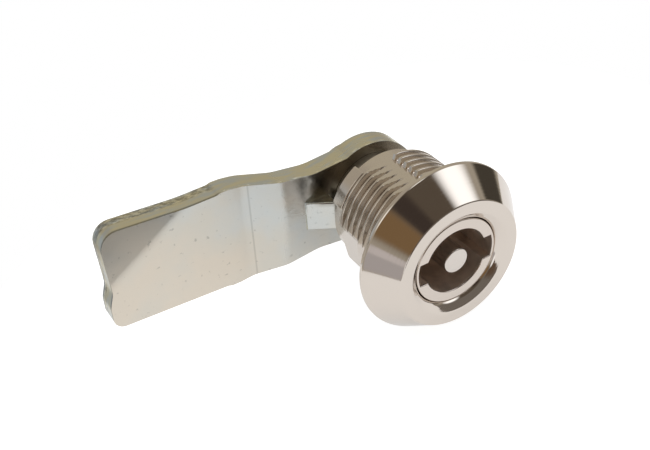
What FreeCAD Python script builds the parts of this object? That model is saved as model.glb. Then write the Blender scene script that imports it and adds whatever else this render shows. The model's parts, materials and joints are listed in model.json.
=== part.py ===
import FreeCAD, Part
import os
import re
import Sketcher
from FreeCAD import Placement, Rotation, Vector

# Quarter-turn cam lock. Lengths are in millimetres, angles in degrees.
# The lock axis is Y: the front faces -Y and the cam lies behind the panel, on the +Y side.
# The origin is the centre of the seat where the collar rests on the panel, and +Z is up.

# Driving dimensions: name, value, what it measures
SIZES = (
    # Housing
    ("flange_diameter", 30.0, "outside of the collar"),
    ("flange_thickness", 6.0, "collar, from the panel seat to the front face"),
    ("flange_land", 0.7, "cylindrical rim of the collar, next to the panel"),
    ("front_diameter", 22.6, "flat front face, outside"),
    ("mouth_bevel", 1.0, "bevel from the flat front face to the bore of the rotor"),
    ("thread_diameter", 22.0, "M22 body over the thread crests"),
    ("body_length", 15.0, "body behind the panel seat"),
    ("flat_distance", 20.4, "across the two flats of the body"),
    ("flat_start", 5.0, "from the panel seat to the front end of the flats"),
    ("flat_corner", 2.0, "rounded front corners of the flats"),
    ("channel_diameter", 19.9, "over the two smooth channels that interrupt the thread"),
    ("channel_angle", 22.0, "width of a smooth channel, about the axis"),
    ("thread_pitch", 1.5, "from one thread crest to the next"),
    ("thread_start", -0.285, "a thread crest level with the tip side"),
    ("crest_width", 0.46, "flat top of a thread crest"),
    ("root_diameter", 20.1, "over the bottoms of the valleys between the thread crests"),
    ("pilot_diameter", 19.7, "unthreaded rear end of the body"),
    ("pilot_length", 2.6, "unthreaded rear end of the body"),
    ("pad_angle", 38.0, "width of a raised pad on the rear end"),
    ("pad_turn", 53.0, "middle of a raised pad, round from the tip side"),
    ("boss_diameter", 14.6, "rear bearing boss"),
    ("boss_length", 2.0, "rear bearing boss behind the body"),
    ("edge_break", 0.25, "softened edges of the collar"),
    # Rotor
    ("head_diameter", 15.2, "rotor head in the collar"),
    ("head_length", 14.0, "rotor head, front face to shoulder"),
    ("rotor_recess", 1.05, "rotor face behind the front face of the collar"),
    ("shank_diameter", 11.0, "rotor shank in the rear bearing"),
    ("socket_diameter", 11.5, "round part of the key socket"),
    ("ear_reach", 7.15, "lock axis to the end of an ear of the key socket"),
    ("ear_width", 4.1, "width of an ear of the key socket"),
    ("socket_depth", 9.0, "key socket, front face to floor"),
    ("pin_diameter", 4.4, "guide pin in the key socket"),
    ("spigot_diameter", 3.4, "rear end of the guide pin"),
    ("spigot_length", 3.0, "rear end of the guide pin, held in the socket floor"),
    ("groove_place", 10.7, "rotor face to the seal groove"),
    ("groove_width", 1.7, "seal groove along the axis"),
    ("groove_depth", 1.15, "seal groove, radially"),
    ("square_width", 8.0, "square tail across flats"),
    ("tail_gap", 0.3, "tail end below the back of the cam, so that the screw clamps"),
    ("rotor_chamfer", 0.25, "edges of the rotor face"),
    # Stop washer
    ("washer_diameter", 15.0, "stop washer outside"),
    ("washer_thickness", 2.0, "stop washer"),
    ("lug_angle", 40.0, "width of the stop lug, about the axis"),
    ("lug_gap", 0.2, "stop lug short of the floor and walls of its slot"),
    # Cam
    ("cam_length", 48.2, "lock axis to the tip of the cam"),
    ("cam_thickness", 3.8, "cam plate"),
    ("hub_radius", 9.4, "round end of the cam about the lock axis"),
    ("hub_blend", 4.5, "lock axis to where the round end meets the waist"),
    ("waist_place", 11.0, "lock axis to the waist"),
    ("waist_width", 15.3, "cam width at the waist"),
    ("shoulder_place", 25.5, "lock axis to the full-width shoulders"),
    ("arm_width", 19.0, "cam width at the shoulders"),
    ("step_place", 27.3, "lock axis to the small step in the edges"),
    ("blade_width", 18.5, "cam width beyond the step"),
    ("tip_width", 17.2, "cam width at the tip"),
    ("tip_step", 0.8, "upper part of the tip short of the lower part"),
    ("tip_step_top", 1.6, "upper end of the step in the tip, below the middle"),
    ("tip_step_end", 4.2, "lower end of the step in the tip, below the middle"),
    ("tip_corner", 3.2, "rounded upper corner of the tip"),
    ("tip_corner_low", 2.0, "rounded lower corner of the tip"),
    ("waist_round", 9.0, "rounding of the waist"),
    ("edge_round", 3.0, "rounding of the other turns of the outline"),
    ("crank_start", 17.2, "lock axis to the first bend"),
    ("crank_end", 23.0, "lock axis to the second bend"),
    ("crank_offset", 1.8, "blade behind the hub"),
    ("bend_radius", 2.0, "inside of each bend"),
    ("crease_top", 33.0, "lock axis to the top end of the lead-in crease"),
    ("crease_drop", 0.6, "outer end of the lead-in crease below the middle of the tip"),
    ("lead_in_angle", 13.0, "corner bent back for the lead-in"),
    ("nib_root", 13.1, "lock axis to the outer end of the nib"),
    ("nib_end", 8.7, "lock axis to the inner end of the nib"),
    ("nib_width", 5.5, "nib across the cam"),
    ("nib_step", 0.3, "nib height at its outer end"),
    ("nib_height", 3.0, "nib height at its inner end"),
    # Fastening of the cam
    ("cam_washer_diameter", 15.0, "plain washer outside"),
    ("cam_washer_thickness", 1.6, "plain washer"),
    ("washer_hole", 6.4, "hole of the plain washer"),
    ("spring_diameter", 11.6, "spring washer outside"),
    ("spring_thickness", 1.6, "spring washer"),
    ("spring_hole", 6.2, "hole of the spring washer"),
    ("spring_gap", 8.0, "split of the spring washer, about the axis"),
    ("screw_diameter", 6.0, "M6 screw"),
    ("screw_length", 12.0, "screw under the head"),
    ("screw_head_diameter", 10.5, "button head of the screw"),
    ("screw_head", 3.3, "button head height"),
    ("screw_rim", 0.8, "cylindrical rim of the button head"),
    ("screw_dome_diameter", 8.8, "button head where its two slopes meet"),
    ("screw_dome", 2.3, "height where the two slopes of the button head meet"),
    ("screw_flat", 5.6, "flat middle of the button head"),
    ("screw_socket", 4.0, "hexagon socket of the screw, across flats"),
    ("socket_hollow", 2.0, "hexagon socket depth"),
    ("screw_end", 0.6, "chamfer on the end of the screw"),
    ("tapping_depth", 11.0, "tapped hole in the rotor tail"),
    # Fits and motion
    ("running_clearance", 0.05, "radial clearance of the rotor in the housing"),
    ("axial_play", 0.05, "end play of the rotor"),
    ("square_clearance", 0.05, "each side of the square tail"),
    ("thread_clearance", 0.03, "radial clearance of the screw in its tapped hole"),
    ("pin_clearance", 0.01, "radial clearance of the guide pin's rear end in its hole"),
    ("seal_clearance", 0.03, "seal short of the groove floor and of the bore"),
    ("rest_turn", 12.5, "cam above level as photographed"),
    ("travel", 90.0, "quarter turn between the stops"),
    ("stop_margin", 0.5, "slot beyond the lug at each end of the travel"),
)

# Formulas that several pieces share, along the lock axis from the panel seat
ROTOR_FRONT = "(rotor_recess - flange_thickness)"
SHOULDER = f"({ROTOR_FRONT} + head_length + axial_play)"
BOSS_END = "(body_length + boss_length)"
STOP_WASHER_FRONT = f"({BOSS_END} + axial_play)"
CAM_FRONT = f"({STOP_WASHER_FRONT} + washer_thickness)"
CAM_BACK = f"({CAM_FRONT} + cam_thickness)"
SPRING_FRONT = f"({CAM_BACK} + cam_washer_thickness)"
SCREW_SEAT = f"({SPRING_FRONT} + spring_thickness)"
TAIL_END = f"({CAM_BACK} - tail_gap)"

# Formulas for fits
HEAD_BORE = "(head_diameter + 2 * running_clearance)"
SHANK_BORE = "(shank_diameter + 2 * running_clearance)"
SQUARE_HOLE = "(square_width + 2 * square_clearance)"
TAPPED_HOLE = "(screw_diameter + 2 * thread_clearance)"
SEAL_INSIDE = "(head_diameter / 2 - groove_depth + seal_clearance)"
SEAL_OUTSIDE = f"({HEAD_BORE} / 2 - seal_clearance)"

LOCK_AXIS = Vector(0, 1, 0)
POSITION_TOLERANCE = 0.02
UNBOUND_TURN = 1.0
UNBOUND_LENGTH = 1.0
DRAFT_RADIUS = 20.0

document = FreeCAD.newDocument("CamLock")
size_names = re.compile(r"\b(" + "|".join(name for name, value, note in SIZES) + r")\b")


def linked(formula):
    """Point every size name in a formula at its cell."""
    return size_names.sub(r"Sizes.\1", formula)


def make_sheet():
    """Put the driving dimensions in a sheet, one row each."""
    sheet = document.addObject("Spreadsheet::Sheet", "Sizes")
    for row, (name, value, note) in enumerate(SIZES, 1):
        sheet.set(f"A{row}", name)
        sheet.set(f"B{row}", str(value))
        sheet.set(f"C{row}", note)
        sheet.setAlias(f"B{row}", name)
    document.recompute()
    return sheet


sizes = make_sheet()


def start_body(label, place="0", turns=False):
    """Start a piece whose own origin lies on the lock axis, at a place from the panel seat."""
    body = document.addObject("PartDesign::Body", label)
    body.Label = label
    if turns:
        body.Placement = Placement(Vector(), Rotation(LOCK_AXIS, UNBOUND_TURN))
        body.setExpression(".Placement.Rotation.Angle", linked("rest_turn"))
    if place != "0":
        body.setExpression(".Placement.Base.y", linked(place))
    return body


def place_point(sketch, number, formulas):
    """Add a construction point and tie it to the sketch axes by its two formulas."""
    start = Vector(DRAFT_RADIUS + number, DRAFT_RADIUS + number * number, 0)
    point = sketch.addGeometry(Part.Point(start), True)
    for kind, axis, formula in zip(("DistanceX", "DistanceY"), (-2, -1), formulas):
        if formula == "0":
            sketch.addConstraint(Sketcher.Constraint("PointOnObject", point, 1, axis))
            continue
        constraint = Sketcher.Constraint(kind, -1, 1, point, 1, UNBOUND_LENGTH)
        index = sketch.addConstraint(constraint)
        sketch.setExpression(f"Constraints[{index}]", linked(formula))
    return point


def add_loop(sketch, corners):
    """Draw a closed loop through corners: (x, y) for a line to the next, or (x, y, radius, bulge)."""
    points = [place_point(sketch, number, corner[:2]) for number, corner in enumerate(corners)]
    document.recompute()
    places = [sketch.getPoint(point, 1) for point in points]
    for number, corner in enumerate(corners):
        following = (number + 1) % len(corners)
        start, end = places[number], places[following]
        if len(corner) == 2:
            edge = sketch.addGeometry(Part.LineSegment(start, end), False)
            ends = (1, 2)
        else:
            radius_name, bulge = corner[2:]
            edge, ends = add_arc(sketch, start, end, radius_name, bulge)
        sketch.addConstraint(Sketcher.Constraint("Coincident", edge, ends[0], points[number], 1))
        sketch.addConstraint(Sketcher.Constraint("Coincident", edge, ends[1], points[following], 1))


def add_arc(sketch, start, end, radius_name, bulge):
    """Add an arc: bulge 1 or -1 picks its side of the chord, and 2 or -2 takes the long way round."""
    radius = float(getattr(sizes, radius_name))
    chord = end - start
    side = Vector(-chord.y, chord.x, 0).normalize()
    rise = (radius ** 2 - chord.Length ** 2 / 4) ** 0.5
    toward = side if bulge > 0 else side * -1
    centre = start + chord * 0.5 + toward * (rise if abs(bulge) > 1 else -rise)
    middle = centre + toward * radius
    arc = Part.Arc(start, middle, end)
    edge = sketch.addGeometry(arc, False)
    reversed_ends = sketch.getPoint(edge, 1).distanceToPoint(start) > POSITION_TOLERANCE
    index = sketch.addConstraint(Sketcher.Constraint("Radius", edge, radius))
    sketch.setExpression(f"Constraints[{index}]", linked(radius_name))
    return edge, (2, 1) if reversed_ends else (1, 2)


def draw(body, name, plane, *loops, lift="0", swing=None, shift=None):
    """Draw a sketch on an origin plane of the body.

    A loop is a row of corners, or a diameter for a circle about the lock axis. Lift moves the
    sketch along the plane's normal, swing turns it about the lock axis, and shift moves its
    origin to an (x, z) place.
    """
    sketch = body.newObject("Sketcher::SketchObject", name)
    support = next(item for item in body.Origin.OriginFeatures if item.Role == plane)
    sketch.AttachmentSupport = (support, "")
    sketch.MapMode = "FlatFace"
    if swing:
        sketch.AttachmentOffset = Placement(Vector(), Rotation(LOCK_AXIS, UNBOUND_TURN))
        sketch.setExpression(".AttachmentOffset.Rotation.Angle", linked(swing))
    if lift != "0":
        sketch.setExpression(".AttachmentOffset.Base.z", linked(lift))
    if shift:
        sketch.setExpression(".AttachmentOffset.Base.x", linked(shift[0]))
        sketch.setExpression(".AttachmentOffset.Base.z", linked(shift[1]))
    for loop in loops:
        if isinstance(loop, str):
            add_circle(sketch, loop)
        else:
            add_loop(sketch, loop)
    document.recompute()
    return sketch


def add_circle(sketch, diameter):
    """Add a circle about the sketch's origin, with its diameter given by a formula."""
    edge = sketch.addGeometry(Part.Circle(Vector(), Vector(0, 0, 1), DRAFT_RADIUS), False)
    sketch.addConstraint(Sketcher.Constraint("Coincident", edge, 3, -1, 1))
    index = sketch.addConstraint(Sketcher.Constraint("Diameter", edge, 2 * DRAFT_RADIUS))
    sketch.setExpression(f"Constraints[{index}]", linked(diameter))


def box_loop(left, right, bottom, top):
    """The corners of a rectangle."""
    return ((left, bottom), (right, bottom), (right, top), (left, top))


def square_loop(side):
    """The corners of a square about the sketch's origin."""
    return box_loop(f"-{side} / 2", f"{side} / 2", f"-{side} / 2", f"{side} / 2")


def turned(body, kind, name, sketch, angle="360", centred=False):
    """Add a Revolution or Groove about the sketch's vertical axis, which is the lock axis."""
    feature = body.newObject(f"PartDesign::{kind}", name)
    feature.Profile = sketch
    feature.ReferenceAxis = (sketch, ["V_Axis"])
    feature.Midplane = centred
    feature.setExpression("Angle", linked(angle))
    document.recompute()
    return feature


def extruded(body, kind, name, sketch, length, reverse=False, centred=False):
    """Add a Pad or Pocket along the sketch's normal."""
    feature = body.newObject(f"PartDesign::{kind}", name)
    feature.Profile = sketch
    feature.Reversed = reverse
    if centred:
        feature.SideType = "Symmetric"
    feature.setExpression("Length", linked(length))
    document.recompute()
    return feature


def doubled(body, name, feature):
    """Repeat a feature on the opposite side of the lock axis."""
    pattern = body.newObject("PartDesign::PolarPattern", name)
    pattern.Originals = [feature]
    axis = next(item for item in body.Origin.OriginFeatures if item.Role == "Y_Axis")
    pattern.Axis = (axis, [""])
    pattern.Angle = 360
    pattern.Occurrences = 2
    body.Tip = pattern
    document.recompute()
    return pattern


def dress(body, kind, name, size, wanted):
    """Add a Fillet or Chamfer on the edges of the body so far for which wanted is true."""
    base = body.Tip
    names = [f"Edge{number}" for number, edge in enumerate(base.Shape.Edges, 1) if wanted(edge)]
    if not names:
        raise ValueError(f"{body.Label}: no edges for {name}")
    feature = body.newObject(f"PartDesign::{kind}", name)
    feature.Base = (base, names)
    feature.setExpression("Radius" if kind == "Fillet" else "Size", linked(size))
    document.recompute()
    return feature


def near(value, target):
    """True where two lengths are the same place on a piece."""
    return abs(value - target) < POSITION_TOLERANCE


def runs_along(edge, direction):
    """True for a straight edge parallel to a direction."""
    if not isinstance(edge.Curve, Part.Line):
        return False
    return near(abs(edge.Curve.Direction.dot(direction)), 1.0)


def ring_at(edge, radius, place):
    """True for a circular edge about the lock axis, with a radius and a place along it."""
    if not isinstance(edge.Curve, Part.Circle):
        return False
    centre = edge.Curve.Center
    return near(edge.Curve.Radius, radius) and near(centre.y, place) and near(centre.x, 0)


def make_housing():
    """Collar and M22 body in one casting, bored for the rotor."""
    body = start_body("housing")
    section = draw(body, "HousingSection", "XY_Plane", (
        (f"{HEAD_BORE} / 2 + mouth_bevel", "-flange_thickness"),
        ("front_diameter / 2", "-flange_thickness"),
        ("flange_diameter / 2", "-flange_land"),
        ("flange_diameter / 2", "0"),
        ("thread_diameter / 2", "0"),
        ("thread_diameter / 2", "body_length - pilot_length"),
        ("pilot_diameter / 2", "body_length - pilot_length"),
        ("pilot_diameter / 2", "body_length"),
        ("boss_diameter / 2", "body_length"),
        ("boss_diameter / 2", BOSS_END),
        (f"{SHANK_BORE} / 2", BOSS_END),
        (f"{SHANK_BORE} / 2", SHOULDER),
        (f"{HEAD_BORE} / 2", SHOULDER),
        (f"{HEAD_BORE} / 2", "mouth_bevel - flange_thickness"),
    ))
    turned(body, "Revolution", "HousingTurned", section)

    pad = draw(body, "RearPadSection", "XY_Plane", box_loop(
        "boss_diameter / 2", "thread_diameter / 2", "body_length - pilot_length", "body_length",
    ), swing="180 + pad_turn")
    doubled(body, "RearPads", turned(body, "Revolution", "RearPad", pad, "pad_angle", centred=True))

    flat_half = "sqrt((thread_diameter / 2) ^ 2 - (flat_distance / 2) ^ 2)"
    flat = draw(body, "FlatOutline", "YZ_Plane", (
        ("body_length + flat_corner", f"-{flat_half}"),
        ("body_length + flat_corner", flat_half),
        ("flat_start + flat_corner", flat_half, "flat_corner", -1),
        ("flat_start", f"{flat_half} - flat_corner"),
        ("flat_start", f"flat_corner - {flat_half}", "flat_corner", -1),
        ("flat_start + flat_corner", f"-{flat_half}"),
    ), lift="flat_distance / 2")
    doubled(body, "Flats", extruded(body, "Pocket", "Flat", flat, "thread_diameter / 2", reverse=True))

    channel = draw(body, "ChannelSection", "XY_Plane", box_loop(
        "channel_diameter / 2", "thread_diameter / 2 + flat_corner", "0", "body_length - pilot_length",
    ), swing="90")
    doubled(body, "Channels", turned(body, "Groove", "Channel", channel, "channel_angle", centred=True))

    cut_the_thread(body, flat_half)

    slot = draw(body, "StopSlotSection", "XY_Plane", box_loop(
        f"{SHANK_BORE} / 4", "thread_diameter / 2", "body_length", f"{BOSS_END} + lug_gap",
    ), swing="travel / 2")
    turned(body, "Groove", "StopSlot", slot, "travel + lug_angle + 2 * stop_margin", centred=True)

    mouth_radius = sizes.head_diameter / 2 + sizes.running_clearance + sizes.mouth_bevel
    rims = (
        (sizes.flange_diameter / 2, 0),
        (sizes.flange_diameter / 2, -sizes.flange_land),
        (sizes.front_diameter / 2, -sizes.flange_thickness),
        (mouth_radius, -sizes.flange_thickness),
    )
    dress(body, "Chamfer", "CollarEdges", "edge_break",
          lambda edge: any(ring_at(edge, radius, place) for radius, place in rims))
    return body


def cut_the_thread(body, flat_half):
    """Cut the thread's valleys between the flats and the channels.

    Each of the four stretches has level valleys, at the helix's place in its middle.
    """
    flat_angle = f"(asin({flat_half} / (thread_diameter / 2)) / 1 deg)"
    stretch = f"(90 - channel_angle / 2 - {flat_angle} + 1)"
    middle = f"({flat_angle} + {stretch} / 2)"
    top = "(thread_pitch - crest_width) / 2"
    valleys = int((sizes.body_length - sizes.pilot_length) / sizes.thread_pitch)
    for number, turn in enumerate((middle, f"(180 - {middle})", f"(180 + {middle})", f"(360 - {middle})"), 1):
        loops = []
        for valley in range(1, valleys + 1):
            place = f"(thread_start + thread_pitch * ({valley} - 0.5 + {turn} / 360))"
            loops.append((
                ("root_diameter / 2", place),
                ("thread_diameter / 2", f"{place} - {top}"),
                ("thread_diameter / 2", f"{place} + {top}"),
            ))
        section = draw(body, f"Valleys{number}", "XY_Plane", *loops, swing=f"180 + {turn}")
        turned(body, "Groove", f"Thread{number}", section, stretch, centred=True)


def make_rotor():
    """Rotor with its key socket, seal groove, bearing shank and square tail."""
    body = start_body("rotor", ROTOR_FRONT, turns=True)
    shank_end = f"({STOP_WASHER_FRONT} - {ROTOR_FRONT})"
    groove_floor = "head_diameter / 2 - groove_depth"
    section = draw(body, "RotorSection", "XY_Plane", (
        ("0", "0"),
        ("head_diameter / 2", "0"),
        ("head_diameter / 2", "groove_place"),
        (groove_floor, "groove_place"),
        (groove_floor, "groove_place + groove_width"),
        ("head_diameter / 2", "groove_place + groove_width"),
        ("head_diameter / 2", "head_length"),
        ("shank_diameter / 2", "head_length"),
        ("shank_diameter / 2", shank_end),
        ("0", shank_end),
    ))
    turned(body, "Revolution", "RotorTurned", section)

    tail = draw(body, "TailSquare", "XZ_Plane", square_loop("square_width"), lift=f"-{shank_end}")
    tail_length = f"{TAIL_END} - {STOP_WASHER_FRONT}"
    extruded(body, "Pad", "Tail", tail, tail_length, reverse=True)

    socket = draw(body, "SocketRound", "XZ_Plane", "socket_diameter")
    extruded(body, "Pocket", "SocketBarrel", socket, "socket_depth")
    ear_side = "sqrt(ear_reach ^ 2 - (ear_width / 2) ^ 2)"
    ears = draw(body, "SocketEars", "XZ_Plane", (
        (ear_side, "-ear_width / 2", "ear_reach", -1),
        (ear_side, "ear_width / 2"),
        (f"-{ear_side}", "ear_width / 2", "ear_reach", -1),
        (f"-{ear_side}", "-ear_width / 2"),
    ))
    extruded(body, "Pocket", "SocketEarSlot", ears, "socket_depth")
    seat = draw(body, "PinSeat", "XZ_Plane", "spigot_diameter + 2 * pin_clearance")
    extruded(body, "Pocket", "PinHole", seat, "socket_depth + spigot_length")
    tapping = draw(body, "TappingCircle", "XZ_Plane", TAPPED_HOLE, lift=f"{ROTOR_FRONT} - {TAIL_END}")
    extruded(body, "Pocket", "TappedHole", tapping, "tapping_depth", reverse=True)

    dress(body, "Chamfer", "FaceEdge", "rotor_chamfer",
          lambda edge: ring_at(edge, sizes.head_diameter / 2, 0))
    return body


def make_guide_pin():
    """Steel pin that centres the tubular key, with a spigot pressed into the socket floor."""
    body = start_body("guide_pin", ROTOR_FRONT, turns=True)
    circle = draw(body, "PinCircle", "XZ_Plane", "pin_diameter")
    extruded(body, "Pad", "PinShaft", circle, "socket_depth", reverse=True)
    spigot = draw(body, "SpigotCircle", "XZ_Plane", "spigot_diameter")
    extruded(body, "Pad", "Spigot", spigot, "socket_depth + spigot_length", reverse=True)
    dress(body, "Chamfer", "PinEnd", "rotor_chamfer",
          lambda edge: ring_at(edge, sizes.pin_diameter / 2, 0))
    return body


def make_seal_ring():
    """Seal in the rotor's groove, against the bore of the housing."""
    middle = f"{ROTOR_FRONT} + groove_place + groove_width / 2"
    body = start_body("seal_ring", middle, turns=True)
    half_width = "(groove_width / 2 - seal_clearance)"
    section = draw(body, "SealSection", "XY_Plane", box_loop(
        SEAL_INSIDE, SEAL_OUTSIDE, f"-{half_width}", half_width,
    ))
    turned(body, "Revolution", "SealTurned", section)
    return body


def make_stop_washer():
    """Washer keyed on the square tail, with the lug that meets both ends of the stop slot."""
    body = start_body("stop_washer", STOP_WASHER_FRONT, turns=True)
    disc = draw(body, "StopDisc", "XZ_Plane", "washer_diameter", square_loop(SQUARE_HOLE))
    extruded(body, "Pad", "StopDiscPad", disc, "washer_thickness", reverse=True)
    lug = draw(body, "StopLugSection", "XY_Plane", box_loop(
        f"{SHANK_BORE} / 2 + lug_gap",
        "boss_diameter / 2 - lug_gap",
        "lug_gap - boss_length - axial_play",
        "washer_thickness / 2",
    ), swing="0")
    turned(body, "Revolution", "StopLug", lug, "lug_angle", centred=True)
    return body


def make_cam():
    """Cranked steel plate with a waist, a bent lead-in corner and a pressed nib."""
    body = start_body("cam", CAM_FRONT, turns=True)
    bend = "tan(atan(crank_offset / (crank_end - crank_start)) / 2)"
    setback = f"cam_thickness * {bend}"
    beyond = "hub_radius"
    side = draw(body, "CamSide", "XY_Plane", (
        (f"hub_radius + {beyond}", "0"),
        (f"hub_radius + {beyond}", "cam_thickness"),
        (f"{setback} - crank_start", "cam_thickness"),
        (f"{setback} - crank_end", "crank_offset + cam_thickness"),
        (f"-cam_length - {beyond}", "crank_offset + cam_thickness"),
        (f"-cam_length - {beyond}", "crank_offset"),
        ("-crank_end", "crank_offset"),
        ("-crank_start", "0"),
    ))
    extruded(body, "Pad", "CamPlate", side, "4 * hub_radius", centred=True)
    bend_the_crank(body)
    bend_the_corner(body)
    cut_the_outline(body)

    nib = draw(body, "NibSide", "XY_Plane", (
        ("-nib_root", "cam_thickness / 2"),
        ("-nib_root", "-nib_step"),
        ("-nib_end", "-nib_height"),
        ("-nib_end", "cam_thickness / 2"),
    ))
    extruded(body, "Pad", "Nib", nib, "nib_width", centred=True)
    hole = draw(body, "CamSquare", "XZ_Plane", square_loop(SQUARE_HOLE))
    extruded(body, "Pocket", "CamSquareHole", hole, "cam_thickness")
    return body


def bend_the_crank(body):
    """Round the two bends, the outside of each concentric with its inside."""
    setback = sizes.cam_thickness * bend_half_tangent()
    start, end = -sizes.crank_start, -sizes.crank_end
    back = sizes.cam_thickness
    inside = ((start + setback, back), (end, sizes.crank_offset))
    outside = ((start, 0), (end + setback, sizes.crank_offset + back))
    for name, size, places in (
        ("InsideBends", "bend_radius", inside),
        ("OutsideBends", "bend_radius + cam_thickness", outside),
    ):
        dress(body, "Fillet", name, size,
              lambda edge: runs_along(edge, Vector(0, 0, 1)) and at_place(edge, places))


def bend_half_tangent():
    """Tangent of half the angle of each bend of the crank."""
    run = sizes.crank_end - sizes.crank_start
    slope = sizes.crank_offset / run
    return slope / (1 + (1 + slope ** 2) ** 0.5)


def at_place(edge, places):
    """True for an edge that passes one of the (x, y) places."""
    middle = edge.valueAt((edge.FirstParameter + edge.LastParameter) / 2)
    return any(near(middle.x, x) and near(middle.y, y) for x, y in places)


def bend_the_corner(body):
    """Bend the upper corner of the blade back about a diagonal crease."""
    upper_tip = "(cam_length - tip_step)"
    crease_run = f"({upper_tip} - crease_top)"
    crease_rise = "(blade_width / 2 + crease_drop)"
    swing = f"-(90 deg + atan({crease_rise} / {crease_run}))"
    reach = "(2 * blade_width)"
    drop = f"{reach} * tan(1 deg * lead_in_angle)"
    shift = (f"-{upper_tip}", "-crease_drop")
    front = "crank_offset"
    back = "(crank_offset + cam_thickness)"
    for kind, name, place in (("Pad", "CornerBack", back), ("Pocket", "CornerFront", front)):
        wedge = draw(body, f"{name}Wedge", "XY_Plane", (
            ("0", place),
            (reach, place),
            (reach, f"{place} + {drop}"),
        ), swing=swing, shift=shift)
        extruded(body, kind, name, wedge, "2 * cam_length", centred=True)


def cut_the_outline(body):
    """Cut the plate to its outline: round hub, waist, shoulders, step and tip."""
    arc_height = "sqrt(hub_radius ^ 2 - hub_blend ^ 2)"
    half_outline = (
        ("waist_place", "waist_width / 2"),
        ("shoulder_place", "arm_width / 2"),
        ("step_place", "arm_width / 2"),
        ("step_place + (arm_width - blade_width)", "blade_width / 2"),
    )
    upper = [(f"-({x})", z) for x, z in half_outline]
    lower = [(f"-({x})", f"-{z}") for x, z in reversed(half_outline)]
    outline = [
        ("-hub_blend", f"-{arc_height}", "hub_radius", -2),
        ("-hub_blend", arc_height),
        *upper,
        ("tip_step - cam_length", "tip_width / 2"),
        ("tip_step - cam_length", "-tip_step_top"),
        ("-cam_length", "-tip_step_end"),
        ("-cam_length", "-tip_width / 2"),
        *lower,
    ]
    frame = square_loop("(6 * cam_length)")
    sketch = draw(body, "CamOutline", "XZ_Plane", frame, outline, lift="cam_length")
    extruded(body, "Pocket", "CamOutlineCut", sketch, "2 * cam_length")

    half_tip = sizes.tip_width / 2
    rounds = (
        ("WaistRounds", "waist_round", lambda x, z: near(x, sizes.waist_place)),
        ("ShoulderRounds", "edge_round",
         lambda x, z: near(x, sizes.hub_blend) or near(x, sizes.shoulder_place)),
        ("UpperTipRound", "tip_corner",
         lambda x, z: near(x, sizes.cam_length - sizes.tip_step) and near(z, half_tip)),
        ("LowerTipRound", "tip_corner_low",
         lambda x, z: near(x, sizes.cam_length) and near(z, -half_tip)),
    )
    for name, size, wanted in rounds:
        dress(body, "Fillet", name, size,
              lambda edge: runs_along(edge, LOCK_AXIS)
              and wanted(-edge.CenterOfMass.x, edge.CenterOfMass.z))


def make_cam_washer():
    """Plain washer that spans the square hole of the cam."""
    body = start_body("cam_washer", CAM_BACK, turns=True)
    ring = draw(body, "WasherRing", "XZ_Plane", "cam_washer_diameter", "washer_hole")
    extruded(body, "Pad", "WasherPad", ring, "cam_washer_thickness", reverse=True)
    return body


def make_spring_washer():
    """Split spring washer under the screw head, clamped flat."""
    body = start_body("spring_washer", SPRING_FRONT, turns=True)
    section = draw(body, "SpringSection", "XY_Plane", box_loop(
        "spring_hole / 2", "spring_diameter / 2", "0", "spring_thickness",
    ))
    turned(body, "Revolution", "SpringTurned", section, "360 - spring_gap", centred=True)
    return body


def make_cam_screw():
    """Low button-head screw that clamps the cam on the rotor's tail."""
    body = start_body("cam_screw", SCREW_SEAT, turns=True)
    head = draw(body, "HeadSection", "XY_Plane", (
        ("0", "0"),
        ("screw_head_diameter / 2", "0"),
        ("screw_head_diameter / 2", "screw_rim"),
        ("screw_dome_diameter / 2", "screw_dome"),
        ("screw_flat / 2", "screw_head"),
        ("0", "screw_head"),
    ))
    turned(body, "Revolution", "Head", head)
    half = "screw_socket / 2"
    side = f"{half} * tan(30 deg)"
    point = f"{half} / cos(30 deg)"
    hexagon = (
        (half, side),
        ("0", point),
        (f"-{half}", side),
        (f"-{half}", f"-{side}"),
        ("0", f"-{point}"),
        (half, f"-{side}"),
    )
    recess = draw(body, "SocketHexagon", "XZ_Plane", hexagon, lift="-screw_head")
    extruded(body, "Pocket", "HexagonSocket", recess, "socket_hollow", reverse=True)
    circle = draw(body, "ShankCircle", "XZ_Plane", "screw_diameter")
    extruded(body, "Pad", "Shank", circle, "screw_length")
    dress(body, "Chamfer", "ShankEnd", "screw_end",
          lambda edge: ring_at(edge, sizes.screw_diameter / 2, -sizes.screw_length))
    return body


def check_document(bodies):
    """Stop if any object failed, or if a piece is not one valid solid."""
    document.recompute()
    for item in document.Objects:
        if "Invalid" in item.State or "Error" in item.State:
            raise RuntimeError(f"{item.Label} failed: {item.State}")
    for body in bodies:
        if body.Shape.isNull() or not body.Shape.isValid():
            raise RuntimeError(f"{body.Label} has no valid shape")
        if len(body.Shape.Solids) != 1:
            raise RuntimeError(f"{body.Label} has {len(body.Shape.Solids)} solids")


def write_parts(bodies):
    """Write one file for each piece, named by its label."""
    os.makedirs("parts", exist_ok=True)
    for body in bodies:
        body.Shape.exportStep(f"parts/{body.Label}.step")
        box = body.Shape.BoundBox
        print(f"{body.Label}: {body.Shape.Volume:.1f} mm3,"
              f" x {box.XMin:.2f} {box.XMax:.2f}, y {box.YMin:.2f} {box.YMax:.2f},"
              f" z {box.ZMin:.2f} {box.ZMax:.2f}")


pieces = [
    make_housing(),
    make_rotor(),
    make_guide_pin(),
    make_seal_ring(),
    make_stop_washer(),
    make_cam(),
    make_cam_washer(),
    make_spring_washer(),
    make_cam_screw(),
]
check_document(pieces)
write_parts(pieces)
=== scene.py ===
import json
import math

import bmesh
import bpy
from mathutils import Matrix, Vector

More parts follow.
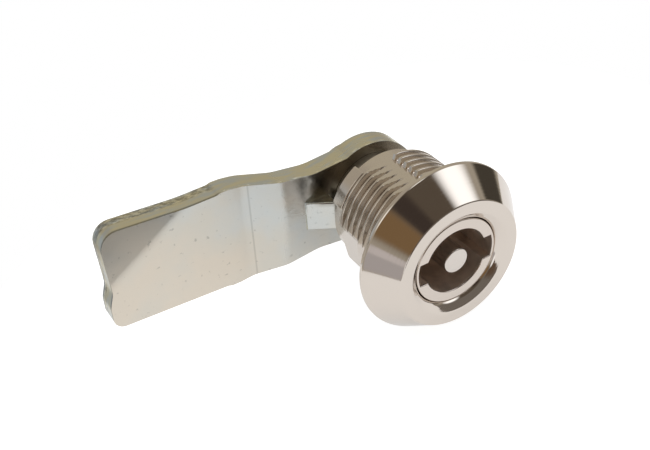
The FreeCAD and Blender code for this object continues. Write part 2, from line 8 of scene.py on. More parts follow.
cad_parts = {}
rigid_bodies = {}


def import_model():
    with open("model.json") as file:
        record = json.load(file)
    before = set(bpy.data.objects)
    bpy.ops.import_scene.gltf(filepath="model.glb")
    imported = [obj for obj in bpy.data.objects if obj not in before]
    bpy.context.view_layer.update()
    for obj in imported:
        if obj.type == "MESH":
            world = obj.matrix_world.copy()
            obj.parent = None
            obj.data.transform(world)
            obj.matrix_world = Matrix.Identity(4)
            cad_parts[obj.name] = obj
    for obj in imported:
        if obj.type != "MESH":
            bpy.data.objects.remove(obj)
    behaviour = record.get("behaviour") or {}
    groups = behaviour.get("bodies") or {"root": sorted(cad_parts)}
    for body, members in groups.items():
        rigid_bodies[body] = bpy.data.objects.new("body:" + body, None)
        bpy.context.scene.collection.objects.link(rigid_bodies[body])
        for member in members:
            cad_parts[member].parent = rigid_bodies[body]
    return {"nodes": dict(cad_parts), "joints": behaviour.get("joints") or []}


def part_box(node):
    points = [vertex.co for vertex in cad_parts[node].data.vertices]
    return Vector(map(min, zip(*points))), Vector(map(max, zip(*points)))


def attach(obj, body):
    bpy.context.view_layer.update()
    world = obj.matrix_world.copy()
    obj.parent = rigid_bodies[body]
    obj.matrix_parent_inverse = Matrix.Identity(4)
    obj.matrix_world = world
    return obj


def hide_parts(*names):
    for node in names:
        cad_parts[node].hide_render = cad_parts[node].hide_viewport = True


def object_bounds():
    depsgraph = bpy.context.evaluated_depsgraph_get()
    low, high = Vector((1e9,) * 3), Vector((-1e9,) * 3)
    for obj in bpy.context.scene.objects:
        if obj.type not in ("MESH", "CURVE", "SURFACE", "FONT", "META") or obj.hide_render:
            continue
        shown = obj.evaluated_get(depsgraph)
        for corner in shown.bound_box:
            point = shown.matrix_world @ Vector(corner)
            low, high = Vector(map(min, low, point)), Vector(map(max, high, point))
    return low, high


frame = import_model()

bl_info = {
    "name": "Cam Lock",
    "version": (1, 0, 0),
    "blender": (4, 5, 0),
    "location": "3D View > Sidebar > Cam Lock",
    "description": "Builds the looks of a quarter-turn cam lock round its packed frame",
    "category": "Object",
}

MM = 0.001
# Steps of a full turn, of the cam's round end, of a stretch of thread and of a short arc.
STEPS, HUB_STEPS, RIDGE_STEPS, ARC_STEPS = 144, 96, 80, 24
# Parts of a curved outline, of a thread's flank and of half a bend.
CURVE_PARTS, FLANK_PARTS, BEND_PARTS = 8, 5, 4
# Faces that meet at more than these angles show an edge, and get one rounded.
SHARP_ANGLE, RIM_ANGLE = math.radians(32), math.radians(20)
# How deep joined shapes sink into each other, how near vertices are one, how far cutters reach past.
OVERLAP, WELD, MARGIN = 0.05 * MM, 0.001 * MM, 1 * MM
SENSOR_WIDTH = 36

LOCK_AXIS = Vector((0, 1, 0))
JOINT = frame["joints"][0]
FIXED, MOVING = JOINT["parent"], JOINT["child"]
REST_TURN = Matrix.Rotation(math.radians(-JOINT["range_deg"][0]), 4, "Y")

CAD_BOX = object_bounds()
HOUSING_LOW, HOUSING_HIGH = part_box("housing")
ROTOR_LOW, ROTOR_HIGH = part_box("rotor")
PIN_LOW, PIN_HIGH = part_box("guide_pin")
WASHER_LOW, WASHER_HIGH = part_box("stop_washer")
PLAIN_LOW, PLAIN_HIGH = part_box("cam_washer")
SPRING_LOW, SPRING_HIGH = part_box("spring_washer")
SCREW_LOW, SCREW_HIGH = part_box("cam_screw")

# What polished metal mirrors in each direction: azimuth from +Y towards +X and elevation, in degrees,
# then the angles where a patch is full and where it ends, and its brightness.
STUDIO_BASE = (0.47, 0.43, 0.36)
STUDIO_FILL = (0.5, 0.5, 0.5)
STUDIO = (
    (172, 20, 50, 75, (0.2, 0.18, 0.16)),
    (172, 62, 22, 40, (0.115, 0.092, 0.07)),
    (-155, 57, 4, 14, (0.058, 0.044, 0.037)),
    (-126, 37, 10, 20, (0.235, 0.15, 0.075)),
    (-110, -2, 7, 15, (0.5, 0.48, 0.49)),
    (-113, 11, 2, 6, (0.66, 0.63, 0.64)),
    (87, -5, 12, 19, (0.072, 0.063, 0.05)),
    (111, 35, 3, 23, (1.65, 1.7, 1.75)),
    (-78, 50, 7, 20, (1.25, 1.22, 1.15)),
    (-152, 5, 8, 20, (0.13, 0.085, 0.055)),
    (120, 76, 6, 14, (1.3, 1.3, 1.25)),
    (-46, 2, 12, 34, (0.5, 0.53, 0.55)),
    (30, 32, 12, 30, (0.54, 0.5, 0.4)),
    (-136, 2, 8, 16, (1.25, 1.27, 1.3)),
)
# Soft lamps that light the paper and the dull faces: place, width and power.
LAMPS = {
    "lamp_above": ((0.05, -0.05, 0.42), 0.5, 1.33),
    "lamp_left": ((-0.4, -0.25, 0.2), 0.3, 0.23),
}


def linear(code):
    """An sRGB hex colour as the linear values that shaders take."""
    channels = [int(code[i:i + 2], 16) / 255 for i in (1, 3, 5)]
    return [c / 12.92 if c <= 0.04045 else ((c + 0.055) / 1.055) ** 2.4 for c in channels]


def length(name, description, value):
    """A length property, in metres."""
    return bpy.props.FloatProperty(
        name=name, description=description, default=value, unit="LENGTH", precision=5,
    )


def angle(name, description, degrees):
    """An angle property, given here in degrees."""
    return bpy.props.FloatProperty(
        name=name, description=description, default=math.radians(degrees), subtype="ANGLE",
    )


def fraction(name, description, value):
    """A property from none to full."""
    return bpy.props.FloatProperty(name=name, description=description, default=value, min=0, max=1)


def colour(name, description, code):
    """A colour property from an sRGB hex value."""
    return bpy.props.FloatVectorProperty(
        name=name, description=description, default=linear(code), subtype="COLOR", min=0, max=1,
    )


class HousingSizes(bpy.types.PropertyGroup):
    """Sizes of the collar and the threaded barrel."""

    collar_radius: length("Collar radius", "Outside of the collar", HOUSING_HIGH.x)
    collar_land: length("Collar land", "Cylindrical rim next to the panel", 0.7 * MM)
    front: length("Front", "Place of the front face", HOUSING_LOW.y)
    front_radius: length("Front radius", "Outside of the flat front face", 11.3 * MM)
    mouth_radius: length("Mouth radius", "Inside of the flat front face", 9.2 * MM)
    mouth_inner: length("Mouth inside", "Where the bevel of the mouth turns into its wall", 8.25 * MM)
    mouth_bevel: length("Mouth bevel", "Depth of the bevel of the mouth", 0.65 * MM)
    mouth_wall: length("Mouth wall", "How far the wall of the mouth leans outwards", 0.2 * MM)
    mouth_depth: length("Mouth depth", "Front face to where the bore starts", 1.5 * MM)
    bore_radius: length("Bore radius", "Bore round the rotor head", 7.65 * MM)
    shoulder: length("Shoulder", "Place of the shoulder that stops the rotor", 9.1 * MM)
    shank_radius: length("Shank bore", "Bore round the rotor shank", 5.55 * MM)
    crest_radius: length("Crest radius", "Thread crests", 11.0 * MM)
    core_radius: length("Core radius", "Thread roots and smooth channels", 9.95 * MM)
    pilot_radius: length("Pilot radius", "Unthreaded rear end", 9.85 * MM)
    pilot_start: length("Pilot start", "Where the thread ends", 12.4 * MM)
    barrel_end: length("Barrel end", "Rear end of the barrel", 15.0 * MM)
    boss_radius: length("Boss radius", "Rear bearing boss", 7.3 * MM)
    boss_end: length("Boss end", "Rear end of the boss", HOUSING_HIGH.y)
    slot_angle: angle("Stop slot", "Width of the slot in the boss", 131)
    slot_middle: angle("Slot middle", "Middle of the slot, round from +X", 45)
    flat_half: length("Flat", "Lock axis to a flat", 10.2 * MM)
    flat_start: length("Flat start", "Front end of the flats", 5.0 * MM)
    flat_corner: length("Flat corner", "Rounded front corners of the flats", 2.0 * MM)
    pad_angle: angle("Pad width", "Width of a raised pad", 38)
    pad_middle: angle("Pad middle", "Middle of a raised pad, round from -X", 53)
    edge: length("Edge", "Rounding of the collar's edges", 0.18 * MM)


class ThreadSizes(bpy.types.PropertyGroup):
    """Sizes of the interrupted thread."""

    pitch: length("Pitch", "From crest to crest", 1.5 * MM)
    first: length("First crest", "Place of the first crest, level with the tip side", -0.285 * MM)
    turns: bpy.props.IntProperty(name="Turns", description="Number of turns", default=9, min=1)
    crest_width: length("Crest width", "Flat top of a crest", 0.46 * MM)
    root_width: length("Root width", "Flat floor between two crests", 0.3 * MM)
    edge: length("Thread edge", "Rounding of crests and roots", 0.13 * MM)
    start: angle("Start", "Where the crests start beside a channel", 102)
    stop: angle("Stop", "Where the crests have faded into the next channel", 280)
    rise: angle("Rise", "Over which the crests rise at their start", 2.5)
    fade: angle("Fade", "Over which the crests fade at their end", 30)
    run_out: angle("Run-out", "Middle of a flat to where the roots start to run out", 32)
    run_in: angle("Run-in", "Middle of a flat to where the roots have run out", 19)


class RotorSizes(bpy.types.PropertyGroup):
    """Sizes of the rotor, its key socket and the guide pin."""

    head_radius: length("Head radius", "Rotor head", 7.6 * MM)
    face: length("Face", "Place of the rotor's face", ROTOR_LOW.y)
    head_length: length("Head length", "Face to shoulder", 14.0 * MM)
    shank_radius: length("Shank radius", "Rotor shank", 5.5 * MM)
    shank_end: length("Shank end", "Place where the square tail starts", WASHER_HIGH.y - 2.0 * MM)
    tail_end: length("Tail end", "Rear end of the square tail", ROTOR_HIGH.y)
    square: length("Square", "Square tail across flats", 8.0 * MM)
    socket_radius: length("Socket radius", "Round part of the key socket", 5.75 * MM)
    ear_reach: length("Ear reach", "Lock axis to the end of an ear", 7.15 * MM)
    ear_width: length("Ear width", "Width of an ear", 4.1 * MM)
    socket_depth: length("Socket depth", "Face to socket floor", 9.0 * MM)
    groove_place: length("Groove place", "Face to the seal groove", 10.7 * MM)
    groove_width: length("Groove width", "Seal groove along the axis", 1.7 * MM)
    groove_depth: length("Groove depth", "Seal groove, radially", 1.15 * MM)
    edge: length("Edge", "Rounding of the face's edges", 0.2 * MM)
    pin_radius: length("Pin radius", "Guide pin", PIN_HIGH.z)


class CamSizes(bpy.types.PropertyGroup):
    """Sizes of the cam."""

    front: length("Front", "Place of the hub's front", WASHER_HIGH.y)
    thickness: length("Thickness", "Cam plate", PLAIN_LOW.y - WASHER_HIGH.y)
    reach: length("Reach", "Lock axis to the tip", 48.2 * MM)
    hub_radius: length("Hub radius", "Round end about the lock axis", 9.4 * MM)
    hub_blend: length("Hub blend", "Lock axis to where the round end stops", 4.5 * MM)
    waist_place: length("Waist", "Lock axis to the waist", 11.0 * MM)
    waist_half: length("Waist half", "Half width at the waist", 7.65 * MM)
    shoulder_place: length("Shoulders", "Lock axis to the shoulders", 25.5 * MM)
    arm_half: length("Arm half", "Half width at the shoulders", 9.5 * MM)
    step_place: length("Step", "Lock axis to the step in the edges", 27.3 * MM)
    step_run: length("Step run", "Length of the step", 0.5 * MM)
    blade_half: length("Blade half", "Half width beyond the step", 9.25 * MM)
    tip_half: length("Tip half", "Half width at the tip", 8.6 * MM)
    tip_step: length("Tip step", "Upper part of the tip short of the lower part", 0.8 * MM)
    tip_step_top: length("Tip step top", "Upper end of the step, below the middle", 1.6 * MM)
    tip_step_end: length("Tip step end", "Lower end of the step, below the middle", 4.2 * MM)
    tip_corner: length("Tip corner", "Rounded upper corner of the tip", 3.2 * MM)
    tip_corner_low: length("Lower tip corner", "Rounded lower corner of the tip", 2.0 * MM)
    waist_round: length("Waist rounding", "Rounding of the waist", 9 * MM)
    shoulder_round: length("Shoulder rounding", "Rounding of the shoulders", 3 * MM)
    step_round: length("Step rounding", "Rounding of the steps in the edges", 1.5 * MM)
    tip_round: length("Tip rounding", "Rounding of the step in the tip", 3 * MM)
    crank_start: length("Crank start", "Lock axis to the first bend", 17.2 * MM)
    crank_end: length("Crank end", "Lock axis to the second bend", 23.0 * MM)
    crank_offset: length("Crank offset", "Blade behind the hub", 1.8 * MM)
    bend: length("Bend", "Half length of a bend", 0.9 * MM)
    mark_place: length("Tool mark", "Lock axis to the mark left by the bending tool", 22.45 * MM)
    mark_half: length("Mark half", "Half width of the tool mark", 0.2 * MM)
    mark_depth: length("Mark depth", "Depth of the tool mark", 0.12 * MM)
    crease_top: length("Crease top", "Lock axis to the top of the lead-in crease", 33.0 * MM)
    crease_drop: length("Crease drop", "Outer end of the crease below the middle", 0.6 * MM)
    lead_in: angle("Lead-in", "Corner bent back", 13)
    front_edge: length("Front edge", "Rolled-over front edge", 0.55 * MM)
    back_edge: length("Back edge", "Burred back edge", 0.2 * MM)
    square: length("Square hole", "Hole on the rotor tail", 8.1 * MM)
    nib_root: length("Nib root", "Lock axis to the outer end of the nib", 13.1 * MM)
    nib_end: length("Nib end", "Lock axis to the inner end of the nib", 8.7 * MM)
    nib_half: length("Nib half", "Half width of the nib", 2.75 * MM)
    nib_height: length("Nib height", "Nib in front of the hub at its inner end", 3.0 * MM)
    nib_step: length("Nib step", "Nib in front of the hub at its outer end", 0.3 * MM)
    nib_edge: length("Nib edge", "Rounding of the nib", 0.3 * MM)


class FastenerSizes(bpy.types.PropertyGroup):
    """Sizes of the washers and the screw."""

    stop_radius: length("Stop washer", "Outside of the stop washer", 7.5 * MM)
    stop_thickness: length("Stop washer thickness", "Thickness of the stop washer", 2.0 * MM)
    lug_angle: angle("Lug", "Width of the stop lug", 40)
    lug_inner: length("Lug inside", "Inside of the stop lug", 5.75 * MM)
    lug_outer: length("Lug outside", "Outside of the stop lug", 7.1 * MM)
    square: length("Square hole", "Hole of the stop washer on the rotor tail", 8.1 * MM)
    washer_radius: length("Plain washer", "Outside of the plain washer", 7.5 * MM)
    spring_radius: length("Spring washer", "Outside of the spring washer", 5.8 * MM)
    hole_radius: length("Washer hole", "Hole of both washers", 3.15 * MM)
    split: angle("Split", "Gap of the spring washer", 8)
    head_radius: length("Head radius", "Button head of the screw", 5.25 * MM)
    head_rim: length("Head rim", "Cylindrical rim of the button head", 0.8 * MM)
    head_middle: length("Head middle", "Flat middle of the button head", 2.8 * MM)
    socket_across: length("Socket", "Hexagon socket of the screw, across flats", 4.0 * MM)
    socket_depth: length("Socket depth", "Hexagon socket of the screw", 2.0 * MM)
    screw_radius: length("Screw radius", "Shank of the screw", 3.0 * MM)
    point: length("Point", "Chamfer on the end of the screw", 0.6 * MM)
    edge: length("Edge", "Rounding of the edges", 0.15 * MM)


class StageSizes(bpy.types.PropertyGroup):
    """Camera and floor."""

    camera_place: bpy.props.FloatVectorProperty(
        name="Camera place", description="Where the camera stands", unit="LENGTH",
        default=(-54.311 * MM, -100.498 * MM, 113.285 * MM),
    )
    camera_forward: bpy.props.FloatVectorProperty(
        name="Camera direction", description="Where the camera looks", default=(0.25839, 0.69764, -0.66823),
    )
    camera_up: bpy.props.FloatVectorProperty(
        name="Camera up", description="Top of the picture", default=(0.51505, 0.48572, 0.70626),
    )
    lens: bpy.props.FloatProperty(
        name="Lens", description="Focal length for a sensor 36 mm wide", default=55.385, unit="CAMERA",
    )
    floor_radius: length("Floor", "Radius of the sheet of paper under the lock", 82 * MM)
    floor_middle: bpy.props.FloatVectorProperty(
        name="Floor middle", description="Middle of the sheet of paper", unit="LENGTH", size=2,
        default=(-16 * MM, 0),
    )
    floor_glow: fraction("Floor glow", "How far the paper shows whiter than the lamps make it", 0.8)
    floor_mirrored: fraction("Mirrored floor", "The same, where metal mirrors the paper", 0.5)
    paper: colour("Paper", "White paper of the floor", "#BDBDBD")


class Finishes(bpy.types.PropertyGroup):
    """Colours and roughnesses of the finishes."""

    chrome: colour("Chrome", "Chrome plate over nickel on the housing", "#D5CCC3")
    polished: fraction("Polished", "Roughness of the polished collar", 0.05)
    cast: fraction("Cast", "Roughness of the barrel, plated as it was cast", 0.18)
    chrome_rotor: colour("Rotor chrome", "Chrome plate on the rotor", "#D3C9C0")
    dull: fraction("Dull", "Roughness of the rotor", 0.12)
    zinc: colour("Zinc", "Zinc plating of the cam", "#CECAC0")
    zinc_warm: colour("Warm zinc", "Pinkish yellow patches of the passivation", "#D8CFC1")
    zinc_cool: colour("Cool zinc", "Bluish patches of the passivation", "#C4C8C7")
    zinc_olive: colour("Olive zinc", "Passivation on the sheared edges", "#D2CCB4")
    bright: fraction("Bright zinc", "Roughness of the fasteners", 0.28)
    # Painted shade for the corner of the cam's hub behind the barrel, where the barrel shades it.
    painted_corner_shade: colour("Painted shade", "Grease in the corner behind the barrel", "#857F73")
    pin: colour("Pin", "Turned steel of the guide pin", "#D4CDC6")
    turned: fraction("Turned", "Roughness of the guide pin", 0.22)
    socket: colour("Socket", "Oiled inside of the key socket", "#E4D4C6")
    rubber: colour("Rubber", "Nitrile rubber", "#1B1B1C")


def feed(tree, node, links):
    """Give each named socket of a node a value or a link."""
    for name, value in dict(links).items():
        if isinstance(value, bpy.types.NodeSocket):
            tree.links.new(value, node.inputs[name])
        else:
            node.inputs[name].default_value = value


def new_node(tree, kind, links=(), **settings):
    """Add a node with its settings, values and links."""
    node = tree.nodes.new(kind)
    for name, value in settings.items():
        setattr(node, name, value)
    feed(tree, node, links)
    return node


def new_material(name):
    """Start a material: its tree, its main shader and the object's own coordinates."""
    material = bpy.data.materials.new(name)
    material.use_nodes = True
    tree = material.node_tree
    shader = tree.nodes["Principled BSDF"]
    place = new_node(tree, "ShaderNodeTexCoord").outputs["Object"]
    return material, tree, shader, place


def maths(tree, operation, *values):
    """The result of a sum with values and links."""
    return new_node(tree, "ShaderNodeMath", enumerate(values), operation=operation).outputs[0]


def axes(tree, vector):
    """The three parts of a vector."""
    return new_node(tree, "ShaderNodeSeparateXYZ", {"Vector": vector}).outputs


def stretched(tree, place, amounts):
    """A place for a pattern that is stretched where the amounts are small."""
    return new_node(tree, "ShaderNodeVectorMath", {0: place, 1: amounts}, operation="MULTIPLY").outputs[0]


def noise(tree, place, grain, detail=2.0, roughness=0.5):
    """Noise whose blobs are about as wide as a real length."""
    return new_node(tree, "ShaderNodeTexNoise", {
        "Vector": place, "Scale": 1 / grain, "Detail": detail, "Roughness": roughness,
    }).outputs["Fac"]


def bump(tree, height, strength, distance):
    """The normals of a surface that a value raises."""
    return new_node(tree, "ShaderNodeBump", {
        "Height": height, "Strength": strength, "Distance": distance,
    }).outputs[0]


def ramp(tree, value, start, end, low=0.0, high=1.0, **settings):
    """A value's way from start to end, as a share from low to high."""
    return new_node(tree, "ShaderNodeMapRange", {
        "Value": value, "From Min": start, "From Max": end, "To Min": low, "To Max": high,
    }, **settings).outputs[0]


def rgba(shade):
    """A colour as a socket takes it."""
    return shade if isinstance(shade, bpy.types.NodeSocket) else (*shade, 1)


def blend(tree, share, first, second):
    """One colour passing into another."""
    return new_node(tree, "ShaderNodeMix", {
        "Factor": share, 6: rgba(first), 7: rgba(second),
    }, data_type="RGBA").outputs[2]


def between(tree, share, first, second):
    """One value passing into another."""
    return new_node(tree, "ShaderNodeMix", {
        "Factor": share, 2: first, 3: second,
    }, data_type="FLOAT").outputs[0]


def shaded(tree, shade, amount):
    """A colour made darker or lighter."""
    return new_node(tree, "ShaderNodeVectorMath", {0: shade, "Scale": amount}, operation="SCALE").outputs[0]


def chrome_plate(name, tint, roughness):
    """Polished chrome over turned zinc: mirror bright, with faint rings left by the polishing."""
    material, tree, shader, place = new_material(name)
    aside, along, up = axes(tree, place)
    squares = maths(tree, "ADD", maths(tree, "POWER", aside, 2.0), maths(tree, "POWER", up, 2.0))
    radius = maths(tree, "SQRT", squares)
    rings = new_node(tree, "ShaderNodeCombineXYZ", {"X": radius, "Y": along}).outputs[0]
    lines = noise(tree, rings, 0.35 * MM)
    feed(tree, shader, {
        "Base Color": rgba(tint), "Metallic": 1,
        "Roughness": ramp(tree, lines, 0.3, 0.7, roughness, roughness + 0.06),
        "Normal": bump(tree, lines, 0.5, 0.02 * MM),
    })
    return material


def cast_chrome(name, tint, roughness):
    """Chrome over the casting as it left the die: less bright than the polished collar, faintly grained."""
    material, tree, shader, place = new_material(name)
    grain = noise(tree, place, 0.6 * MM, 3.0)
    feed(tree, shader, {
        "Base Color": rgba(tint), "Metallic": 1,
        "Roughness": ramp(tree, grain, 0.35, 0.65, roughness - 0.02, roughness + 0.02),
        "Normal": bump(tree, grain, 0.05, 0.015 * MM),
    })
    return material


def oiled_socket(name, tint):
    """Unpolished inside of the key socket, dark with oil: it mirrors only broad shapes."""
    material, tree, shader, place = new_material(name)
    stains = noise(tree, place, 3 * MM)
    feed(tree, shader, {
        "Base Color": blend(tree, ramp(tree, stains, 0.4, 0.65), tint, [c * 0.75 for c in tint]),
        "Metallic": 1, "Roughness": 0.55, "Normal": bump(tree, stains, 0.2, 0.05 * MM),
    })
    return material


def turned_steel(name, tint, roughness):
    """Faced end of a steel pin: satin, with the fine rings of the turning tool."""
    material, tree, shader, place = new_material(name)
    rings = new_node(tree, "ShaderNodeTexWave", {
        "Vector": place, "Scale": 0.25 / (0.3 * MM), "Distortion": 0.5,
    }, wave_type="RINGS", rings_direction="Y").outputs["Fac"]
    feed(tree, shader, {
        "Base Color": rgba(tint), "Metallic": 1, "Roughness": roughness,
        "Normal": bump(tree, rings, 0.1, 0.01 * MM),
    })
    return material


def passivation(tree, place, lean, finish):
    """Warm and cool clouds of the film on bright zinc, as one colour, and the clouds themselves."""
    clouds = noise(tree, place, 12 * MM, 3.0, 0.55)
    leaning = maths(tree, "ADD", lean, clouds)
    warm = blend(tree, ramp(tree, leaning, 0.52, 0.78), finish.zinc, finish.zinc_warm)
    return blend(tree, ramp(tree, leaning, 0.5, 0.24), warm, finish.zinc_cool), clouds


def zinc_plate(name, finish, roughness):
    """Bright zinc with a passivation film: satin grey, with faint warm and cool clouds."""
    material, tree, shader, place = new_material(name)
    shade, clouds = passivation(tree, place, 0.0, finish)
    feed(tree, shader, {
        "Base Color": shade, "Metallic": 1,
        "Roughness": ramp(tree, clouds, 0.3, 0.7, roughness - 0.05, roughness + 0.07),
    })
    return material


def pressed_zinc(name, finish, size):
    """Zinc plate on the pressed cam: clouds and few pits on its faces, torn metal on its sheared edges,
    painted shade in the tool mark, on the edges' front rim and on the hub behind the barrel, and painted
    glints on the edges.
    """
    material, tree, shader, place = new_material(name)
    laid = new_node(tree, "ShaderNodeAttribute", attribute_name="laid").outputs["Vector"]
    along, depth, across = axes(tree, laid)
    facing = axes(tree, new_node(tree, "ShaderNodeTexCoord").outputs["Normal"])["Y"]
    lean = maths(
        tree, "ADD", ramp(tree, across, -size.blade_half, size.blade_half, 0.14, -0.14),
        ramp(tree, along, size.crank_start, size.reach - 10 * MM, -0.1, 0.16),
    )
    face, clouds = passivation(tree, place, lean, finish)
    pits = noise(tree, place, 0.9 * MM, 4.0)
    # Painted shade darkens the line that the bending tool left across the front.
    off_mark = maths(tree, "ABSOLUTE", maths(tree, "ADD", along, -size.mark_place))
    pits_and_mark_shade = maths(
        tree, "MULTIPLY", ramp(tree, pits, 0.27, 0.35, 0.72, 1.0),
        ramp(tree, off_mark, 0.4 * size.mark_half, size.mark_half, 0.82, 1.0),
    )
    # Sheared edge: painted shade darkens the front rim, then burnished, then torn with chips; tears of about
    # 1 mm.
    on_edge = ramp(tree, maths(tree, "ABSOLUTE", facing), 0.6, 0.3)
    beyond = ramp(tree, along, size.step_place - 0.5 * MM, size.step_place + 0.5 * MM)
    rim = ramp(tree, depth, 0.25 * MM, 0.5 * MM, 0.45, 1.0)
    torn = ramp(tree, depth, size.thickness * 0.5, size.thickness * 0.6)
    tears = noise(tree, stretched(tree, laid, (0.5, 1.0, 0.5)), 0.55 * MM, 4.0, 0.65)
    ragged = between(tree, torn, 1.0, ramp(tree, tears, 0.4, 0.62, 0.5, 1.2))
    torn_and_rim_shade = maths(tree, "MULTIPLY", rim, ragged)
    # Painted glints: short of the step, white specks lighten the edge near its front.
    painted_glints = maths(tree, "MULTIPLY", ramp(tree, depth, 0.7 * MM, 0.3 * MM), ramp(tree, tears, 0.55, 0.62))
    # Short of the step the edge takes the painted glints, beyond it the painted rim shade and the tears.
    edge_glints_shade_and_tears = between(tree, beyond, ramp(tree, painted_glints, 0.0, 1.0, 1.0, 1.45), torn_and_rim_shade)
    streaks = noise(tree, stretched(tree, laid, (0.25, 1.0, 0.25)), 1.1 * MM, 3.0)
    filmed = blend(tree, ramp(tree, streaks, 0.42, 0.62), finish.zinc_olive, finish.zinc_cool)
    shade = blend(tree, on_edge, shaded(tree, face, pits_and_mark_shade), shaded(tree, filmed, edge_glints_shade_and_tears))
    # Painted shade darkens the front of the hub above the nib, in the corner behind the barrel, where the
    # barrel shades the cam and is mirrored in it dark.
    level = new_node(tree, "ShaderNodeCombineXYZ", {"X": along, "Z": across}).outputs[0]
    from_axis = new_node(tree, "ShaderNodeVectorMath", {0: level}, operation="LENGTH").outputs["Value"]
    ragged_shade_reach = maths(tree, "MULTIPLY_ADD", noise(tree, place, 4 * MM), 3 * MM, from_axis)
    painted_shade_mask = maths(
        tree, "MULTIPLY", ramp(tree, ragged_shade_reach, size.nib_root + 1.2 * MM, size.nib_root - 0.6 * MM),
        ramp(tree, across, 1.8 * MM, 3 * MM),
    )
    front = maths(tree, "MULTIPLY", painted_shade_mask, ramp(tree, facing, -0.6, -0.9))
    # The hub's side, pressed flat a second time, is brighter than the blade.
    second_press = ramp(
        tree, along, size.crank_start + size.bend, size.crank_start - size.bend, 0.0, -0.09,
    )
    feed(tree, shader, {
        "Base Color": blend(tree, front, shade, finish.painted_corner_shade), "Metallic": 1,
        "Roughness": maths(tree, "ADD", second_press, ramp(tree, clouds, 0.3, 0.7, 0.26, 0.38)),
        "Normal": bump(tree, maths(tree, "MULTIPLY", pits, edge_glints_shade_and_tears), 0.25, 0.06 * MM),
    })
    return material


def rubber(name, tint):
    """Moulded nitrile rubber: near black, dull, with a faint grain."""
    material, tree, shader, place = new_material(name)
    feed(tree, shader, {
        "Base Color": rgba(tint), "Roughness": 0.6,
        "Normal": bump(tree, noise(tree, place, 0.2 * MM), 0.2, 0.02 * MM),
    })
    return material


def ring(inner, outer, low, high):
    """The corners of a ring's section, from one radius to another and one place to another."""
    return (inner, low), (outer, low), (outer, high), (inner, high)


def spin(corners, start=0.0, sweep=math.tau, lift=0.0, steps=STEPS):
    """Spin a closed outline of (radius, place) corners about the lock axis, from +X towards -Z."""
    bm = bmesh.new()
    verts = [bm.verts.new((radius, place, 0)) for radius, place in corners]
    edges = [bm.edges.new(pair) for pair in zip(verts, verts[1:] + verts[:1])]
    full = math.isclose(sweep, math.tau)
    geometry = verts + edges
    if not full:
        geometry.append(bm.faces.new(verts))
        bmesh.ops.rotate(bm, verts=verts, cent=(0, 0, 0), matrix=Matrix.Rotation(start, 3, "Y"))
    bmesh.ops.spin(
        bm, geom=geometry, cent=(0, 0, 0), axis=LOCK_AXIS, dvec=(0, lift / steps, 0), angle=sweep,
        steps=steps, use_merge=full,
    )
    bmesh.ops.remove_doubles(bm, verts=bm.verts, dist=WELD)
    bmesh.ops.recalc_face_normals(bm, faces=bm.faces)
    return bm


def round_rims(bm, edge, limit=RIM_ANGLE, segments=3, wanted=lambda v: True, slope=math.inf):
    """Round the edges between wanted vertices where faces meet at an angle and that run level enough."""
    edges = [
        e for e in bm.edges
        if e.is_manifold and e.calc_face_angle(0) > limit and all(wanted(v) for v in e.verts)
        and abs(e.verts[0].co.y - e.verts[1].co.y) <= slope
    ]
    bmesh.ops.bevel(
        bm, geom=edges, offset=edge, offset_type="OFFSET", segments=segments, profile=0.5,
        affect="EDGES", material=-1, clamp_overlap=True,
    )


def merged(*meshes):
    """Join several meshes into the first."""
    first = meshes[0]
    for other in meshes[1:]:
        held = bpy.data.meshes.new("held")
        other.to_mesh(held)
        other.free()
        first.from_mesh(held)
        bpy.data.meshes.remove(held)
    return first


def finish_piece(bm, name, body, slot, material, *nodes):
    """Turn a mesh into a shown piece that rides on a body and stands for its CAD nodes."""
    bmesh.ops.remove_doubles(bm, verts=bm.verts, dist=WELD)
    bmesh.ops.recalc_face_normals(bm, faces=bm.faces)
    if body == MOVING:
        bm.transform(REST_TURN)
    mesh = bpy.data.meshes.new(name)
    bm.to_mesh(mesh)
    bm.free()
    mesh.shade_smooth()
    mesh.set_sharp_from_angle(angle=SHARP_ANGLE)
    mesh.materials.append(material)
    piece = bpy.data.objects.new(name, mesh)
    bpy.context.scene.collection.objects.link(piece)
    weight = piece.modifiers.new("Even shading", "WEIGHTED_NORMAL")
    weight.keep_sharp = True
    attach(piece, body)
    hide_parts(*nodes)
    return piece


def second_finish(piece, material, wanted):
    """Give the wanted faces of a piece another finish, chosen by their distance from the axis and place."""
    piece.data.materials.append(material)
    for face in piece.data.polygons:
        if wanted(math.hypot(face.center.x, face.center.z), face.center.y):
            face.material_index = 1


